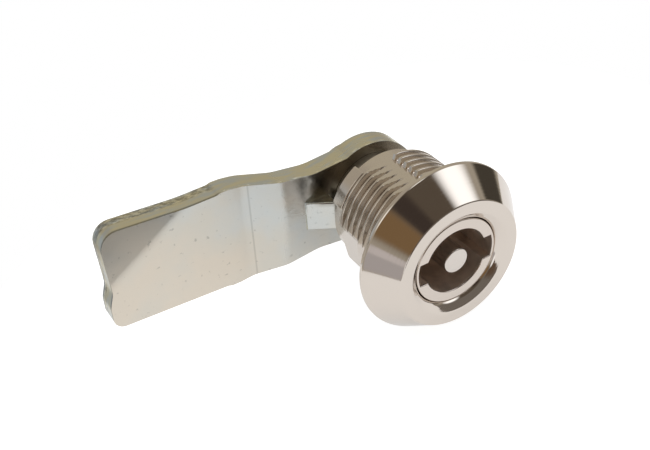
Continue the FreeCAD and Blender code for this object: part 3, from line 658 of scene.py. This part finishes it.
def thread_ridge(turn, opposite):
    """One stretch of thread from a channel round to the next, as a closed ridge sunk in the core."""
    size, thread = bpy.context.scene.lock_housing, bpy.context.scene.lock_thread
    start = thread.start + (math.pi if opposite else 0.0)
    sweep = thread.stop - thread.start
    place = thread.first + thread.pitch * (turn + start / math.tau)
    crest, root = thread.crest_width / 2, (thread.pitch - thread.root_width) / 2
    floor = size.core_radius - 4 * OVERLAP
    foot = size.core_radius + thread.edge / 2
    flank = [
        (foot + (size.crest_radius - foot) * share, root + (crest - root) * share)
        for share in (part / FLANK_PARTS for part in range(FLANK_PARTS + 1))
    ]
    reach = thread.pitch / 2 - OVERLAP
    bm = spin((
        (floor, place - reach),
        (size.core_radius, place - reach),
        *((radius, place - half) for radius, half in flank),
        *((radius, place + half) for radius, half in reversed(flank)),
        (size.core_radius, place + reach),
        (floor, place + reach),
    ), start=math.pi + start, sweep=sweep, lift=thread.pitch * sweep / math.tau, steps=RIDGE_STEPS)
    round_rims(
        bm, thread.edge, segments=4, wanted=lambda v: radius_of(v) > size.crest_radius - WELD,
        slope=WELD + thread.pitch / RIDGE_STEPS,
    )
    # A vertex that lies a hair before the start isn't taken for one a whole turn on.
    slack = 0.01
    for v in bm.verts:
        turned = (math.atan2(v.co.z, -v.co.x) - start + slack) % math.tau - slack
        rising = floor + (size.crest_radius - floor) * max(0.0, turned) / thread.rise
        falling = (size.core_radius - OVERLAP) / math.cos(min(thread.fade, max(0.0, sweep - turned)))
        radius = radius_of(v)
        wanted = radius
        if radius > size.core_radius - WELD:
            # Towards a flat the valleys grow shallow and narrow, so the crests widen.
            from_flat = abs((start + turned + math.pi / 2) % math.pi - math.pi / 2)
            open_share = min(1.0, max(0.0, (from_flat - thread.run_in) / (thread.run_out - thread.run_in)))
            wanted = size.crest_radius - open_share * (size.crest_radius - radius)
            middle = place + thread.pitch * turned / math.tau
            aside = v.co.y - middle
            v.co.y = middle + math.copysign(reach - open_share * (reach - abs(aside)), aside)
        scale = min(wanted, rising, falling) / radius
        v.co.x, v.co.z = v.co.x * scale, v.co.z * scale
    return bm


def shoulder_block():
    """Solid part of the barrel about a flat, which the roots of the thread run out into."""
    size, thread = bpy.context.scene.lock_housing, bpy.context.scene.lock_thread
    low = [(-radius * math.cos(turn), -radius * math.sin(turn)) for radius, turn in (
        (size.core_radius - MARGIN, thread.run_out),
        (size.core_radius - OVERLAP, thread.run_out),
        (size.crest_radius, thread.run_in),
    )]
    outline = polygon(
        0, *low, (0, 0, 2 * thread.run_in, 2 * CURVE_PARTS), *((x, -z) for x, z in reversed(low[:2])),
    )
    return extrude(outline, (0, size.pilot_start, 0))


def flat_cutters(half):
    """What two flats with rounded front corners, at a distance from the axis, take off the barrel."""
    size = bpy.context.scene.lock_housing
    side = math.sqrt(size.crest_radius ** 2 - size.flat_half ** 2)
    rear = size.pilot_start + MARGIN
    bm = bmesh.new()
    bm.faces.new([bm.verts.new((half, y, z)) for y, z in (
        (size.flat_start, -side), (size.flat_start, side), (rear, side), (rear, -side),
    )])
    bmesh.ops.bevel(
        bm, geom=[v for v in bm.verts if v.co.y < size.flat_start + OVERLAP], offset=size.flat_corner,
        offset_type="OFFSET", segments=CURVE_PARTS, profile=0.5, affect="VERTICES", material=-1,
    )
    return mirrored_twice(extrude(bm, (size.crest_radius + MARGIN - half, 0, 0)))


def mirrored_twice(bm):
    """Add the same shape half a turn round the lock axis."""
    copied = bmesh.ops.duplicate(bm, geom=bm.verts[:] + bm.edges[:] + bm.faces[:])
    moved = [item for item in copied["geom"] if isinstance(item, bmesh.types.BMVert)]
    bmesh.ops.rotate(bm, verts=moved, cent=(0, 0, 0), matrix=Matrix.Rotation(math.pi, 3, "Y"))
    return bm


def polygon(place, start, *moves):
    """A closed flat outline across the lock axis: (x, z) for a line, (x, z, angle, steps) for an arc."""
    bm = bmesh.new()
    first = last = bm.verts.new((start[0], place, start[1]))
    for move in moves:
        if len(move) == 2:
            following = bm.verts.new((move[0], place, move[1]))
            bm.edges.new((last, following))
            last = following
            continue
        x, z, sweep, steps = move
        swept = bmesh.ops.spin(
            bm, geom=[last], cent=(x, place, z), axis=LOCK_AXIS, dvec=(0, 0, 0), angle=sweep,
            steps=steps, use_merge=False,
        )
        last = next(v for v in swept["geom_last"] if isinstance(v, bmesh.types.BMVert))
    if (last.co - first.co).length > WELD:
        bm.edges.new((last, first))
    bmesh.ops.remove_doubles(bm, verts=bm.verts, dist=WELD)
    bmesh.ops.contextual_create(bm, geom=bm.edges[:])
    return bm


def extrude(bm, offset):
    """Give a flat outline its thickness."""
    faces = bm.faces[:]
    result = bmesh.ops.extrude_face_region(bm, geom=faces, use_keep_orig=True)
    moved = [item for item in result["geom"] if isinstance(item, bmesh.types.BMVert)]
    bmesh.ops.translate(bm, vec=offset, verts=moved)
    bmesh.ops.recalc_face_normals(bm, faces=bm.faces)
    return bm


def punch_square(bm, half):
    """Cut a square hole about the lock axis through a flat outline."""
    for axis in (0, 2):
        for sign in (-1, 1):
            near = [f for f in bm.faces if f.calc_center_median().length < 4 * half or len(bm.faces) < 3]
            geometry = list({v for f in near for v in f.verts} | {e for f in near for e in f.edges}) + near
            plane = Vector((0, 0, 0))
            plane[axis] = 1
            bmesh.ops.bisect_plane(bm, geom=geometry, dist=WELD, plane_co=plane * half * sign, plane_no=plane)
    middle = [f for f in bm.faces if all(
        abs(v.co.x) < half + WELD * 2 and abs(v.co.z) < half + WELD * 2 for v in f.verts
    )]
    bmesh.ops.delete(bm, geom=middle, context="FACES")


def round_corners(bm, wanted, radius):
    """Round the corners of a flat outline whose (x, z) places are wanted."""
    for v in [v for v in bm.verts if len(v.link_edges) == 2 and wanted(v.co.x, v.co.z)]:
        one, two = [(e.other_vert(v).co - v.co) for e in v.link_edges]
        turn = math.pi - one.angle(two)
        bmesh.ops.bevel(
            bm, geom=[v], offset=radius * math.tan(turn / 2), offset_type="OFFSET",
            segments=CURVE_PARTS, profile=0.5, affect="VERTICES", material=-1,
        )


def radius_of(vertex):
    """Distance of a vertex from the lock axis."""
    return math.hypot(vertex.co.x, vertex.co.z)


def soft_ramp(run, bend):
    """A bend's rise for a run of one: level, then a rounded bend, then a slope of one."""
    if run < -bend:
        return 0.0
    if run > bend:
        return run
    return (run + bend) ** 2 / (4 * bend)


def cut_away(piece, *cutters):
    """Cut shapes out of a piece for good."""
    for bm in cutters:
        mesh = bpy.data.meshes.new("cutter")
        bmesh.ops.recalc_face_normals(bm, faces=bm.faces)
        bm.to_mesh(mesh)
        bm.free()
        cutter = bpy.data.objects.new("cutter", mesh)
        bpy.context.scene.collection.objects.link(cutter)
        cut = piece.modifiers.new("Cut", "BOOLEAN")
        cut.object, cut.operation, cut.solver = cutter, "DIFFERENCE", "EXACT"
        bpy.context.view_layer.update()
        done = bpy.data.meshes.new_from_object(piece.evaluated_get(bpy.context.evaluated_depsgraph_get()))
        piece.modifiers.remove(cut)
        old, piece.data = piece.data, done
        bpy.data.meshes.remove(old)
        bpy.data.objects.remove(cutter)
        bpy.data.meshes.remove(mesh)


class LOCK_OT_stage(bpy.types.Operator):
    """Camera, floor, lamps and what the polished faces see round them"""

    bl_idname = "lock.stage"
    bl_label = "Stage"

    def execute(self, context):
        size = context.scene.lock_stage
        context.scene.view_settings.view_transform = "Standard"
        forward = Vector(size.camera_forward).normalized()
        up = Vector(size.camera_up)
        right = forward.cross(up).normalized()
        up = right.cross(forward)
        data = bpy.data.cameras.new("camera")
        data.lens, data.sensor_width = size.lens, SENSOR_WIDTH
        data.clip_start = 0.01
        camera = bpy.data.objects.new("camera", data)
        turn = Matrix((right, up, -forward)).transposed().to_4x4()
        camera.matrix_world = Matrix.Translation(Vector(size.camera_place)) @ turn
        context.scene.collection.objects.link(camera)
        context.scene.camera = camera
        self.lay_floor(context, size)
        self.hang_lamps(context)
        self.surround(context)
        return {"FINISHED"}

    def lay_floor(self, context, size):
        """A round sheet of white paper under the lock."""
        bm = bmesh.new()
        bmesh.ops.create_circle(
            bm, cap_ends=True, cap_tris=False, segments=HUB_STEPS, radius=size.floor_radius,
        )
        mesh = bpy.data.meshes.new("floor")
        bm.to_mesh(mesh)
        bm.free()
        floor = bpy.data.objects.new("floor", mesh)
        floor.location = (*size.floor_middle, CAD_BOX[0].z)
        context.scene.collection.objects.link(floor)
        material, tree, shader, place = new_material("white_paper")
        rays = new_node(tree, "ShaderNodeLightPath").outputs
        seen = maths(tree, "MULTIPLY", rays["Is Camera Ray"], size.floor_glow)
        glow = maths(tree, "MULTIPLY_ADD", rays["Is Glossy Ray"], size.floor_mirrored, seen)
        feed(tree, shader, {
            "Base Color": rgba(size.paper), "Roughness": 1, "Specular IOR Level": 0,
            "Emission Color": (1, 1, 1, 1), "Emission Strength": glow,
        })
        mesh.materials.append(material)

    def hang_lamps(self, context):
        """The soft lamps, which the chrome doesn't mirror."""
        for name, (place, width, power) in LAMPS.items():
            data = bpy.data.lights.new(name, "AREA")
            data.shape, data.size, data.energy = "DISK", width, power
            lamp = bpy.data.objects.new(name, data)
            lamp.location = place
            lamp.rotation_euler = (-Vector(place)).to_track_quat("-Z", "Y").to_euler()
            lamp.visible_glossy = False
            context.scene.collection.objects.link(lamp)

    def surround(self, context):
        """The studio as the metal mirrors it: dark ceiling, brown and grey walls, one bright window."""
        world = bpy.data.worlds.new("studio")
        context.scene.world = world
        world.use_nodes = True
        tree = world.node_tree
        toward = new_node(tree, "ShaderNodeTexCoord").outputs["Generated"]
        mirrored = STUDIO_BASE
        for *angles, shade in STUDIO:
            azimuth, elevation, inner, outer = (math.radians(degrees) for degrees in angles)
            aim = (
                math.sin(azimuth) * math.cos(elevation), math.cos(azimuth) * math.cos(elevation),
                math.sin(elevation),
            )
            near = new_node(tree, "ShaderNodeVectorMath", {0: toward, 1: aim}, operation="DOT_PRODUCT")
            amount = ramp(
                tree, near.outputs["Value"], math.cos(outer), math.cos(inner),
                interpolation_type="SMOOTHSTEP",
            )
            mirrored = blend(tree, amount, mirrored, shade)
        rays = new_node(tree, "ShaderNodeLightPath").outputs
        lit = blend(tree, rays["Is Glossy Ray"], STUDIO_FILL, mirrored)
        shown = blend(tree, rays["Is Camera Ray"], lit, (1, 1, 1))
        feed(tree, tree.nodes["Background"], {"Color": shown, "Strength": 1})


class LOCK_OT_housing(bpy.types.Operator):
    """Collar, bore, barrel core, bearing boss and rear pads of the housing"""

    bl_idname = "lock.housing"
    bl_label = "Housing"

    def execute(self, context):
        size, finish = context.scene.lock_housing, context.scene.lock_finish
        shell = spin((
            (size.mouth_radius, size.front),
            (size.front_radius, size.front),
            (size.collar_radius, -size.collar_land),
            (size.collar_radius, 0),
            (size.core_radius, 0),
            (size.core_radius, size.pilot_start),
            (size.pilot_radius, size.pilot_start),
            (size.pilot_radius, size.barrel_end),
            (size.shank_radius, size.barrel_end),
            (size.shank_radius, size.shoulder),
            (size.bore_radius, size.shoulder),
            *self.mouth(size),
        ))
        round_rims(shell, size.edge, slope=0.0, wanted=lambda v: (
            radius_of(v) > size.bore_radius + OVERLAP and v.co.y < OVERLAP
            and radius_of(v) != size.core_radius
        ))
        boss = spin(
            ring(size.shank_radius, size.boss_radius, size.barrel_end - OVERLAP, size.boss_end),
            start=size.slot_middle + size.slot_angle / 2, sweep=math.tau - size.slot_angle,
        )
        round_rims(boss, size.edge / 2)
        pads = spin(
            ring(size.boss_radius, size.crest_radius, size.pilot_start - OVERLAP, size.barrel_end - OVERLAP),
            start=math.pi + size.pad_middle - size.pad_angle / 2, sweep=size.pad_angle, steps=ARC_STEPS,
        )
        round_rims(pads, size.edge)
        whole = merged(shell, boss, mirrored_twice(pads))
        chrome = chrome_plate("polished_chrome_plate", finish.chrome, finish.polished)
        piece = finish_piece(whole, "housing_casting", FIXED, "housing", chrome, "housing")
        barrel = cast_chrome("cast_chrome_plate", finish.chrome, finish.cast)
        second_finish(piece, barrel, lambda radius, place: place > size.edge)
        return {"FINISHED"}

    def mouth(self, size):
        """Corners of the mouth, from the bore up a rounded wall and out along a bevel."""
        wall = Vector((size.bore_radius, size.front + size.mouth_depth))
        turn = Vector((size.bore_radius + size.mouth_wall, size.front + size.mouth_depth * 0.6))
        bevel = Vector((size.mouth_inner, size.front + size.mouth_bevel))
        parts = [part / CURVE_PARTS for part in range(CURVE_PARTS + 1)]
        return [wall * (1 - t) ** 2 + turn * 2 * t * (1 - t) + bevel * t ** 2 for t in parts]


class LOCK_OT_thread(bpy.types.Operator):
    """Interrupted M22 thread of the barrel, the shoulders that it runs out into, and its flats"""

    bl_idname = "lock.thread"
    bl_label = "Thread"

    def execute(self, context):
        size, thread = context.scene.lock_housing, context.scene.lock_thread
        ridges = merged(*(
            thread_ridge(turn, opposite) for turn in range(thread.turns) for opposite in (False, True)
        ))
        chrome = bpy.data.materials["cast_chrome_plate"]
        piece = finish_piece(ridges, "housing_thread", FIXED, "housing", chrome, "housing")
        shoulders = finish_piece(
            mirrored_twice(shoulder_block()), "housing_shoulders", FIXED, "housing", chrome, "housing",
        )
        inner, outer = size.core_radius - 2 * MARGIN, size.crest_radius + 2 * MARGIN
        rear = spin(ring(inner, outer, size.pilot_start, size.barrel_end + 2 * MARGIN))
        front = spin(ring(inner, outer, size.front, -size.edge))
        cut_away(piece, rear, front, flat_cutters(size.flat_half))
        cut_away(shoulders, flat_cutters(size.flat_half + OVERLAP / 2))
        return {"FINISHED"}


class LOCK_OT_rotor(bpy.types.Operator):
    """Rotor with its key socket, seal groove, shank and square tail"""

    bl_idname = "lock.rotor"
    bl_label = "Rotor"

    def execute(self, context):
        size, finish = context.scene.lock_rotor, context.scene.lock_finish
        half_ear = size.ear_width / 2
        (ear_root, root_turn), (ear_end, end_turn) = (
            (math.sqrt(radius ** 2 - half_ear ** 2), math.asin(half_ear / radius))
            for radius in (size.socket_radius, size.ear_reach)
        )
        to_ear = (0, 0, root_turn - math.pi / 2, ARC_STEPS)
        head = extrude(polygon(
            size.face, (0, size.head_radius),
            (0, 0, math.pi, STEPS // 2),
            (0, -size.socket_radius),
            to_ear,
            (ear_end, -half_ear),
            (0, 0, -2 * end_turn, CURVE_PARTS),
            (ear_root, half_ear),
            to_ear,
        ), (0, size.socket_depth + OVERLAP, 0))
        middle = [f for f in head.faces if all(abs(v.co.x) < WELD for v in f.verts)]
        bmesh.ops.delete(head, geom=middle, context="FACES")
        bmesh.ops.mirror(
            head, geom=head.verts[:] + head.edges[:] + head.faces[:], matrix=Matrix.Identity(4),
            merge_dist=WELD, axis="X",
        )
        bmesh.ops.remove_doubles(head, verts=head.verts, dist=WELD)
        bmesh.ops.recalc_face_normals(head, faces=head.faces)
        round_rims(head, size.edge, wanted=lambda v: v.co.y < size.face + WELD)
        floor, shoulder = size.face + size.socket_depth, size.face + size.head_length
        groove = size.face + size.groove_place
        groove_end, groove_floor = groove + size.groove_width, size.head_radius - size.groove_depth
        core = spin((
            (0, floor),
            (size.head_radius, floor),
            (size.head_radius, groove),
            (groove_floor, groove),
            (groove_floor, groove_end),
            (size.head_radius, groove_end),
            (size.head_radius, shoulder),
            (size.shank_radius, shoulder),
            (size.shank_radius, size.shank_end),
            (0, size.shank_end),
        ))
        tail = bmesh.new()
        bmesh.ops.create_cube(tail, size=1)
        run = size.tail_end - size.shank_end + MARGIN
        bmesh.ops.scale(tail, vec=(size.square, run, size.square), verts=tail.verts)
        bmesh.ops.translate(tail, vec=(0, size.tail_end - run / 2, 0), verts=tail.verts)
        round_rims(tail, size.edge)
        chrome = chrome_plate("dull_chrome_plate", finish.chrome_rotor, finish.dull)
        piece = finish_piece(merged(head, core, tail), "rotor_barrel", MOVING, "rotor", chrome, "rotor")
        inside = oiled_socket("oiled_zinc_casting", finish.socket)
        second_finish(piece, inside, lambda radius, place: (
            radius < size.ear_reach + WELD and size.face + size.edge < place < floor + WELD
        ))
        return {"FINISHED"}


class LOCK_OT_guide_pin(bpy.types.Operator):
    """Steel pin in the middle of the key socket"""

    bl_idname = "lock.guide_pin"
    bl_label = "Guide pin"

    def execute(self, context):
        size, finish = context.scene.lock_rotor, context.scene.lock_finish
        pin = spin(ring(0, size.pin_radius, size.face, size.face + size.socket_depth + OVERLAP))
        round_rims(pin, size.edge, wanted=lambda v: v.co.y < size.face + WELD)
        steel = turned_steel("turned_steel", finish.pin, finish.turned)
        finish_piece(pin, "pin_in_socket", MOVING, "pin", steel, "guide_pin")
        return {"FINISHED"}


class LOCK_OT_cam(bpy.types.Operator):
    """Cranked steel cam with its waist, bent corner and nib"""

    bl_idname = "lock.cam"
    bl_label = "Cam"

    def execute(self, context):
        size, finish = context.scene.lock_cam, context.scene.lock_finish
        arc_height = math.sqrt(size.hub_radius ** 2 - size.hub_blend ** 2)
        arc = math.tau - 2 * math.atan2(arc_height, size.hub_blend)
        upper_tip = size.reach - size.tip_step
        # Corners of one side and of the tip: distance from the axis, offset and rounding.
        side = (
            (size.waist_place, size.waist_half, size.waist_round),
            (size.shoulder_place, size.arm_half, size.shoulder_round),
            (size.step_place, size.arm_half, size.step_round),
            (size.step_place + size.step_run, size.blade_half, size.step_round),
        )
        tip = (
            (size.reach, -size.tip_half, size.tip_corner_low),
            (size.reach, -size.tip_step_end, size.tip_round),
            (upper_tip, -size.tip_step_top, size.tip_round),
            (upper_tip, size.tip_half, size.tip_corner),
        )
        plate = polygon(
            size.front, (-size.hub_blend, arc_height), (0, 0, arc, HUB_STEPS),
            *((-place, -half) for place, half, radius in side),
            *((-place, half) for place, half, radius in (*tip, *reversed(side))),
        )
        for place, half, radius in (*side, *tip):
            round_corners(
                plate, lambda x, z: abs(x + place) + abs(abs(z) - abs(half)) < WELD * 10, radius,
            )
        crease_start = Vector((-upper_tip, 0, -size.crease_drop))
        crease_end = Vector((-size.crease_top, 0, size.blade_half))
        across = (crease_end - crease_start).cross(LOCK_AXIS).normalized()
        if across.z < 0:
            across.negate()
        punch_square(plate, size.square / 2)
        along = Vector((1, 0, 0))
        folds = [part * size.bend / BEND_PARTS for part in range(-BEND_PARTS, BEND_PARTS + 1)]
        for place in (size.crank_start, size.crank_end):
            for fold in folds:
                self.score(plate, along * (-place - fold), along)
        for fold in folds:
            self.score(plate, crease_start + across * fold, across)
        for part in (-1, 0, 1):
            self.score(plate, along * (-size.mark_place - part * size.mark_half), along)
        extrude(plate, (0, size.thickness, 0))
        outside = size.square / 2 + WELD * 2
        for place, edge in ((size.front, size.front_edge), (size.front + size.thickness, size.back_edge)):
            round_rims(plate, edge, segments=4, wanted=lambda v: (
                abs(v.co.y - place) < WELD and max(abs(v.co.x), abs(v.co.z)) > outside
            ))
        self.lay_out(plate, size)
        self.bend(plate, size, crease_start, across)
        inside = size.front + size.thickness / 2
        nib = bmesh.new()
        nib.faces.new([nib.verts.new((-x, y, -size.nib_half)) for x, y in (
            (size.nib_root, inside), (size.nib_root, size.front - size.nib_step),
            (size.nib_end, size.front - size.nib_height), (size.nib_end, inside),
        )])
        extrude(nib, (0, 0, 2 * size.nib_half))
        round_rims(nib, size.nib_edge, wanted=lambda v: v.co.y < size.front)
        self.lay_out(nib, size)
        zinc = pressed_zinc("zinc_plated_steel", finish, size)
        finish_piece(merged(plate, nib), "cam_plate", MOVING, "cam", zinc, "cam")
        return {"FINISHED"}

    def lay_out(self, bm, size):
        """Note each vertex's place on the flat blank, which the material reads."""
        laid = bm.verts.layers.float_vector.new("laid")
        for v in bm.verts:
            v[laid] = (-v.co.x, v.co.y - size.front, v.co.z)

    def score(self, bm, place, across):
        """Cut the plate's faces along a line, so that they can bend there."""
        bmesh.ops.bisect_plane(
            bm, geom=bm.verts[:] + bm.edges[:] + bm.faces[:], dist=WELD, plane_co=place, plane_no=across,
        )

    def bend(self, plate, size, crease_start, across):
        """Crank the blank, press the tool mark into it and bend its corner back."""
        slope = size.crank_offset / (size.crank_end - size.crank_start)
        for v in plate.verts:
            run = -v.co.x
            rise = soft_ramp(run - size.crank_start, size.bend) - soft_ramp(run - size.crank_end, size.bend)
            if abs(run - size.mark_place) < WELD and v.co.y < size.front + size.thickness / 2:
                rise += size.mark_depth / slope
            beyond = (v.co - crease_start).dot(across)
            v.co.y += slope * rise + math.tan(size.lead_in) * soft_ramp(beyond, size.bend)


class LOCK_OT_fasteners(bpy.types.Operator):
    """Stop washer, plain washer, spring washer and button-head screw behind the cam, and the seal"""

    bl_idname = "lock.fasteners"
    bl_label = "Fasteners"

    def execute(self, context):
        size, finish = context.scene.lock_fasteners, context.scene.lock_finish
        steel = zinc_plate("zinc_plated_fasteners", finish, finish.bright)
        self.make_stop_washer(size, steel)
        for name, node, low, high, radius, split in (
            ("plain_washer", "cam_washer", PLAIN_LOW, PLAIN_HIGH, size.washer_radius, 0.0),
            ("split_washer", "spring_washer", SPRING_LOW, SPRING_HIGH, size.spring_radius, size.split),
        ):
            section = ring(size.hole_radius, radius, low.y, high.y)
            washer = spin(section, start=math.pi + split / 2, sweep=math.tau - split)
            round_rims(washer, size.edge)
            finish_piece(washer, name, MOVING, "fasteners", steel, node)
        self.make_screw(size, steel)
        seal = frame["nodes"]["seal_ring"]
        seal.data.materials.clear()
        seal.data.materials.append(rubber("nitrile_rubber", finish.rubber))
        return {"FINISHED"}

    def make_stop_washer(self, size, steel):
        """Disc with a square hole, and the lug that swings in the slot of the boss."""
        front = WASHER_HIGH.y - size.stop_thickness
        disc = polygon(front, (size.stop_radius, 0), (0, 0, math.tau, STEPS))
        punch_square(disc, size.square / 2)
        extrude(disc, (0, size.stop_thickness, 0))
        round_rims(disc, size.edge, limit=math.radians(60), wanted=lambda v: (
            radius_of(v) > size.stop_radius - WELD * 5
        ))
        lug = spin(
            ring(size.lug_inner, size.lug_outer, WASHER_LOW.y, front + size.stop_thickness / 2),
            start=-size.lug_angle / 2, sweep=size.lug_angle, steps=ARC_STEPS,
        )
        round_rims(lug, size.edge)
        finish_piece(merged(disc, lug), "washer_with_stop", MOVING, "fasteners", steel, "stop_washer")

    def make_screw(self, size, steel):
        """Low button head with a hexagon socket, on a plain shank."""
        seat, top = SPRING_HIGH.y, SCREW_HIGH.y
        screw = spin((
            (0, SCREW_LOW.y), (size.screw_radius - size.point, SCREW_LOW.y),
            (size.screw_radius, SCREW_LOW.y + size.point), (size.screw_radius, seat),
            (size.head_radius, seat), (size.head_radius, seat + size.head_rim),
            *self.dome(size, seat, top), (0, top),
        ))
        round_rims(screw, size.edge, limit=math.radians(25), wanted=lambda v: (
            v.co.y > seat - WELD and radius_of(v) > size.head_middle - WELD
        ))
        piece = finish_piece(screw, "button_head_screw", MOVING, "fasteners", steel, "cam_screw")
        corner = (0, size.socket_across / math.sqrt(3))
        hexagon = polygon(top - size.socket_depth, corner, (0, 0, math.tau, 6))
        cut_away(piece, extrude(hexagon, (0, 2 * size.socket_depth, 0)))

    def dome(self, size, seat, top):
        """Corners of the button head's dome, from its rim to its flat middle."""
        reach, rise = size.head_radius - size.head_middle, top - seat - size.head_rim
        turns = [part / CURVE_PARTS * math.pi / 2 for part in range(1, CURVE_PARTS + 1)]
        return [
            (size.head_middle + reach * math.cos(turn), seat + size.head_rim + rise * math.sin(turn))
            for turn in turns
        ]


class LOCK_PT_panel(bpy.types.Panel):
    """Lists the pieces of the lock and their sizes"""

    bl_label = "Cam Lock"
    bl_idname = "LOCK_PT_panel"
    bl_space_type = "VIEW_3D"
    bl_region_type = "UI"
    bl_category = "Cam Lock"

    def draw(self, context):
        for operator, group in PANEL_ROWS:
            box = self.layout.box()
            box.operator(operator.bl_idname)
            settings = getattr(context.scene, group)
            for name in settings.bl_rna.properties.keys():
                if name not in ("rna_type", "name"):
                    box.prop(settings, name)


PANEL_ROWS = (
    (LOCK_OT_stage, "lock_stage"),
    (LOCK_OT_housing, "lock_housing"),
    (LOCK_OT_thread, "lock_thread"),
    (LOCK_OT_rotor, "lock_rotor"),
    (LOCK_OT_guide_pin, "lock_finish"),
    (LOCK_OT_cam, "lock_cam"),
    (LOCK_OT_fasteners, "lock_fasteners"),
)
GROUPS = {
    "lock_stage": StageSizes,
    "lock_housing": HousingSizes,
    "lock_thread": ThreadSizes,
    "lock_rotor": RotorSizes,
    "lock_finish": Finishes,
    "lock_cam": CamSizes,
    "lock_fasteners": FastenerSizes,
}


def register():
    """Register the panel, the operators and the sizes that they read."""
    for name, group in GROUPS.items():
        bpy.utils.register_class(group)
        setattr(bpy.types.Scene, name, bpy.props.PointerProperty(type=group))
    for operator, group in PANEL_ROWS:
        bpy.utils.register_class(operator)
    bpy.utils.register_class(LOCK_PT_panel)


def unregister():
    """Undo register."""
    bpy.utils.unregister_class(LOCK_PT_panel)
    for operator, group in reversed(PANEL_ROWS):
        bpy.utils.unregister_class(operator)
    for name, group in reversed(GROUPS.items()):
        delattr(bpy.types.Scene, name)
        bpy.utils.unregister_class(group)


def main():
    """Build the lock in order."""
    register()
    bpy.ops.lock.stage()
    bpy.ops.lock.housing()
    bpy.ops.lock.thread()
    bpy.ops.lock.rotor()
    bpy.ops.lock.guide_pin()
    bpy.ops.lock.cam()
    bpy.ops.lock.fasteners()
    bpy.context.view_layer.update()


if __name__ == "__main__":
    main()
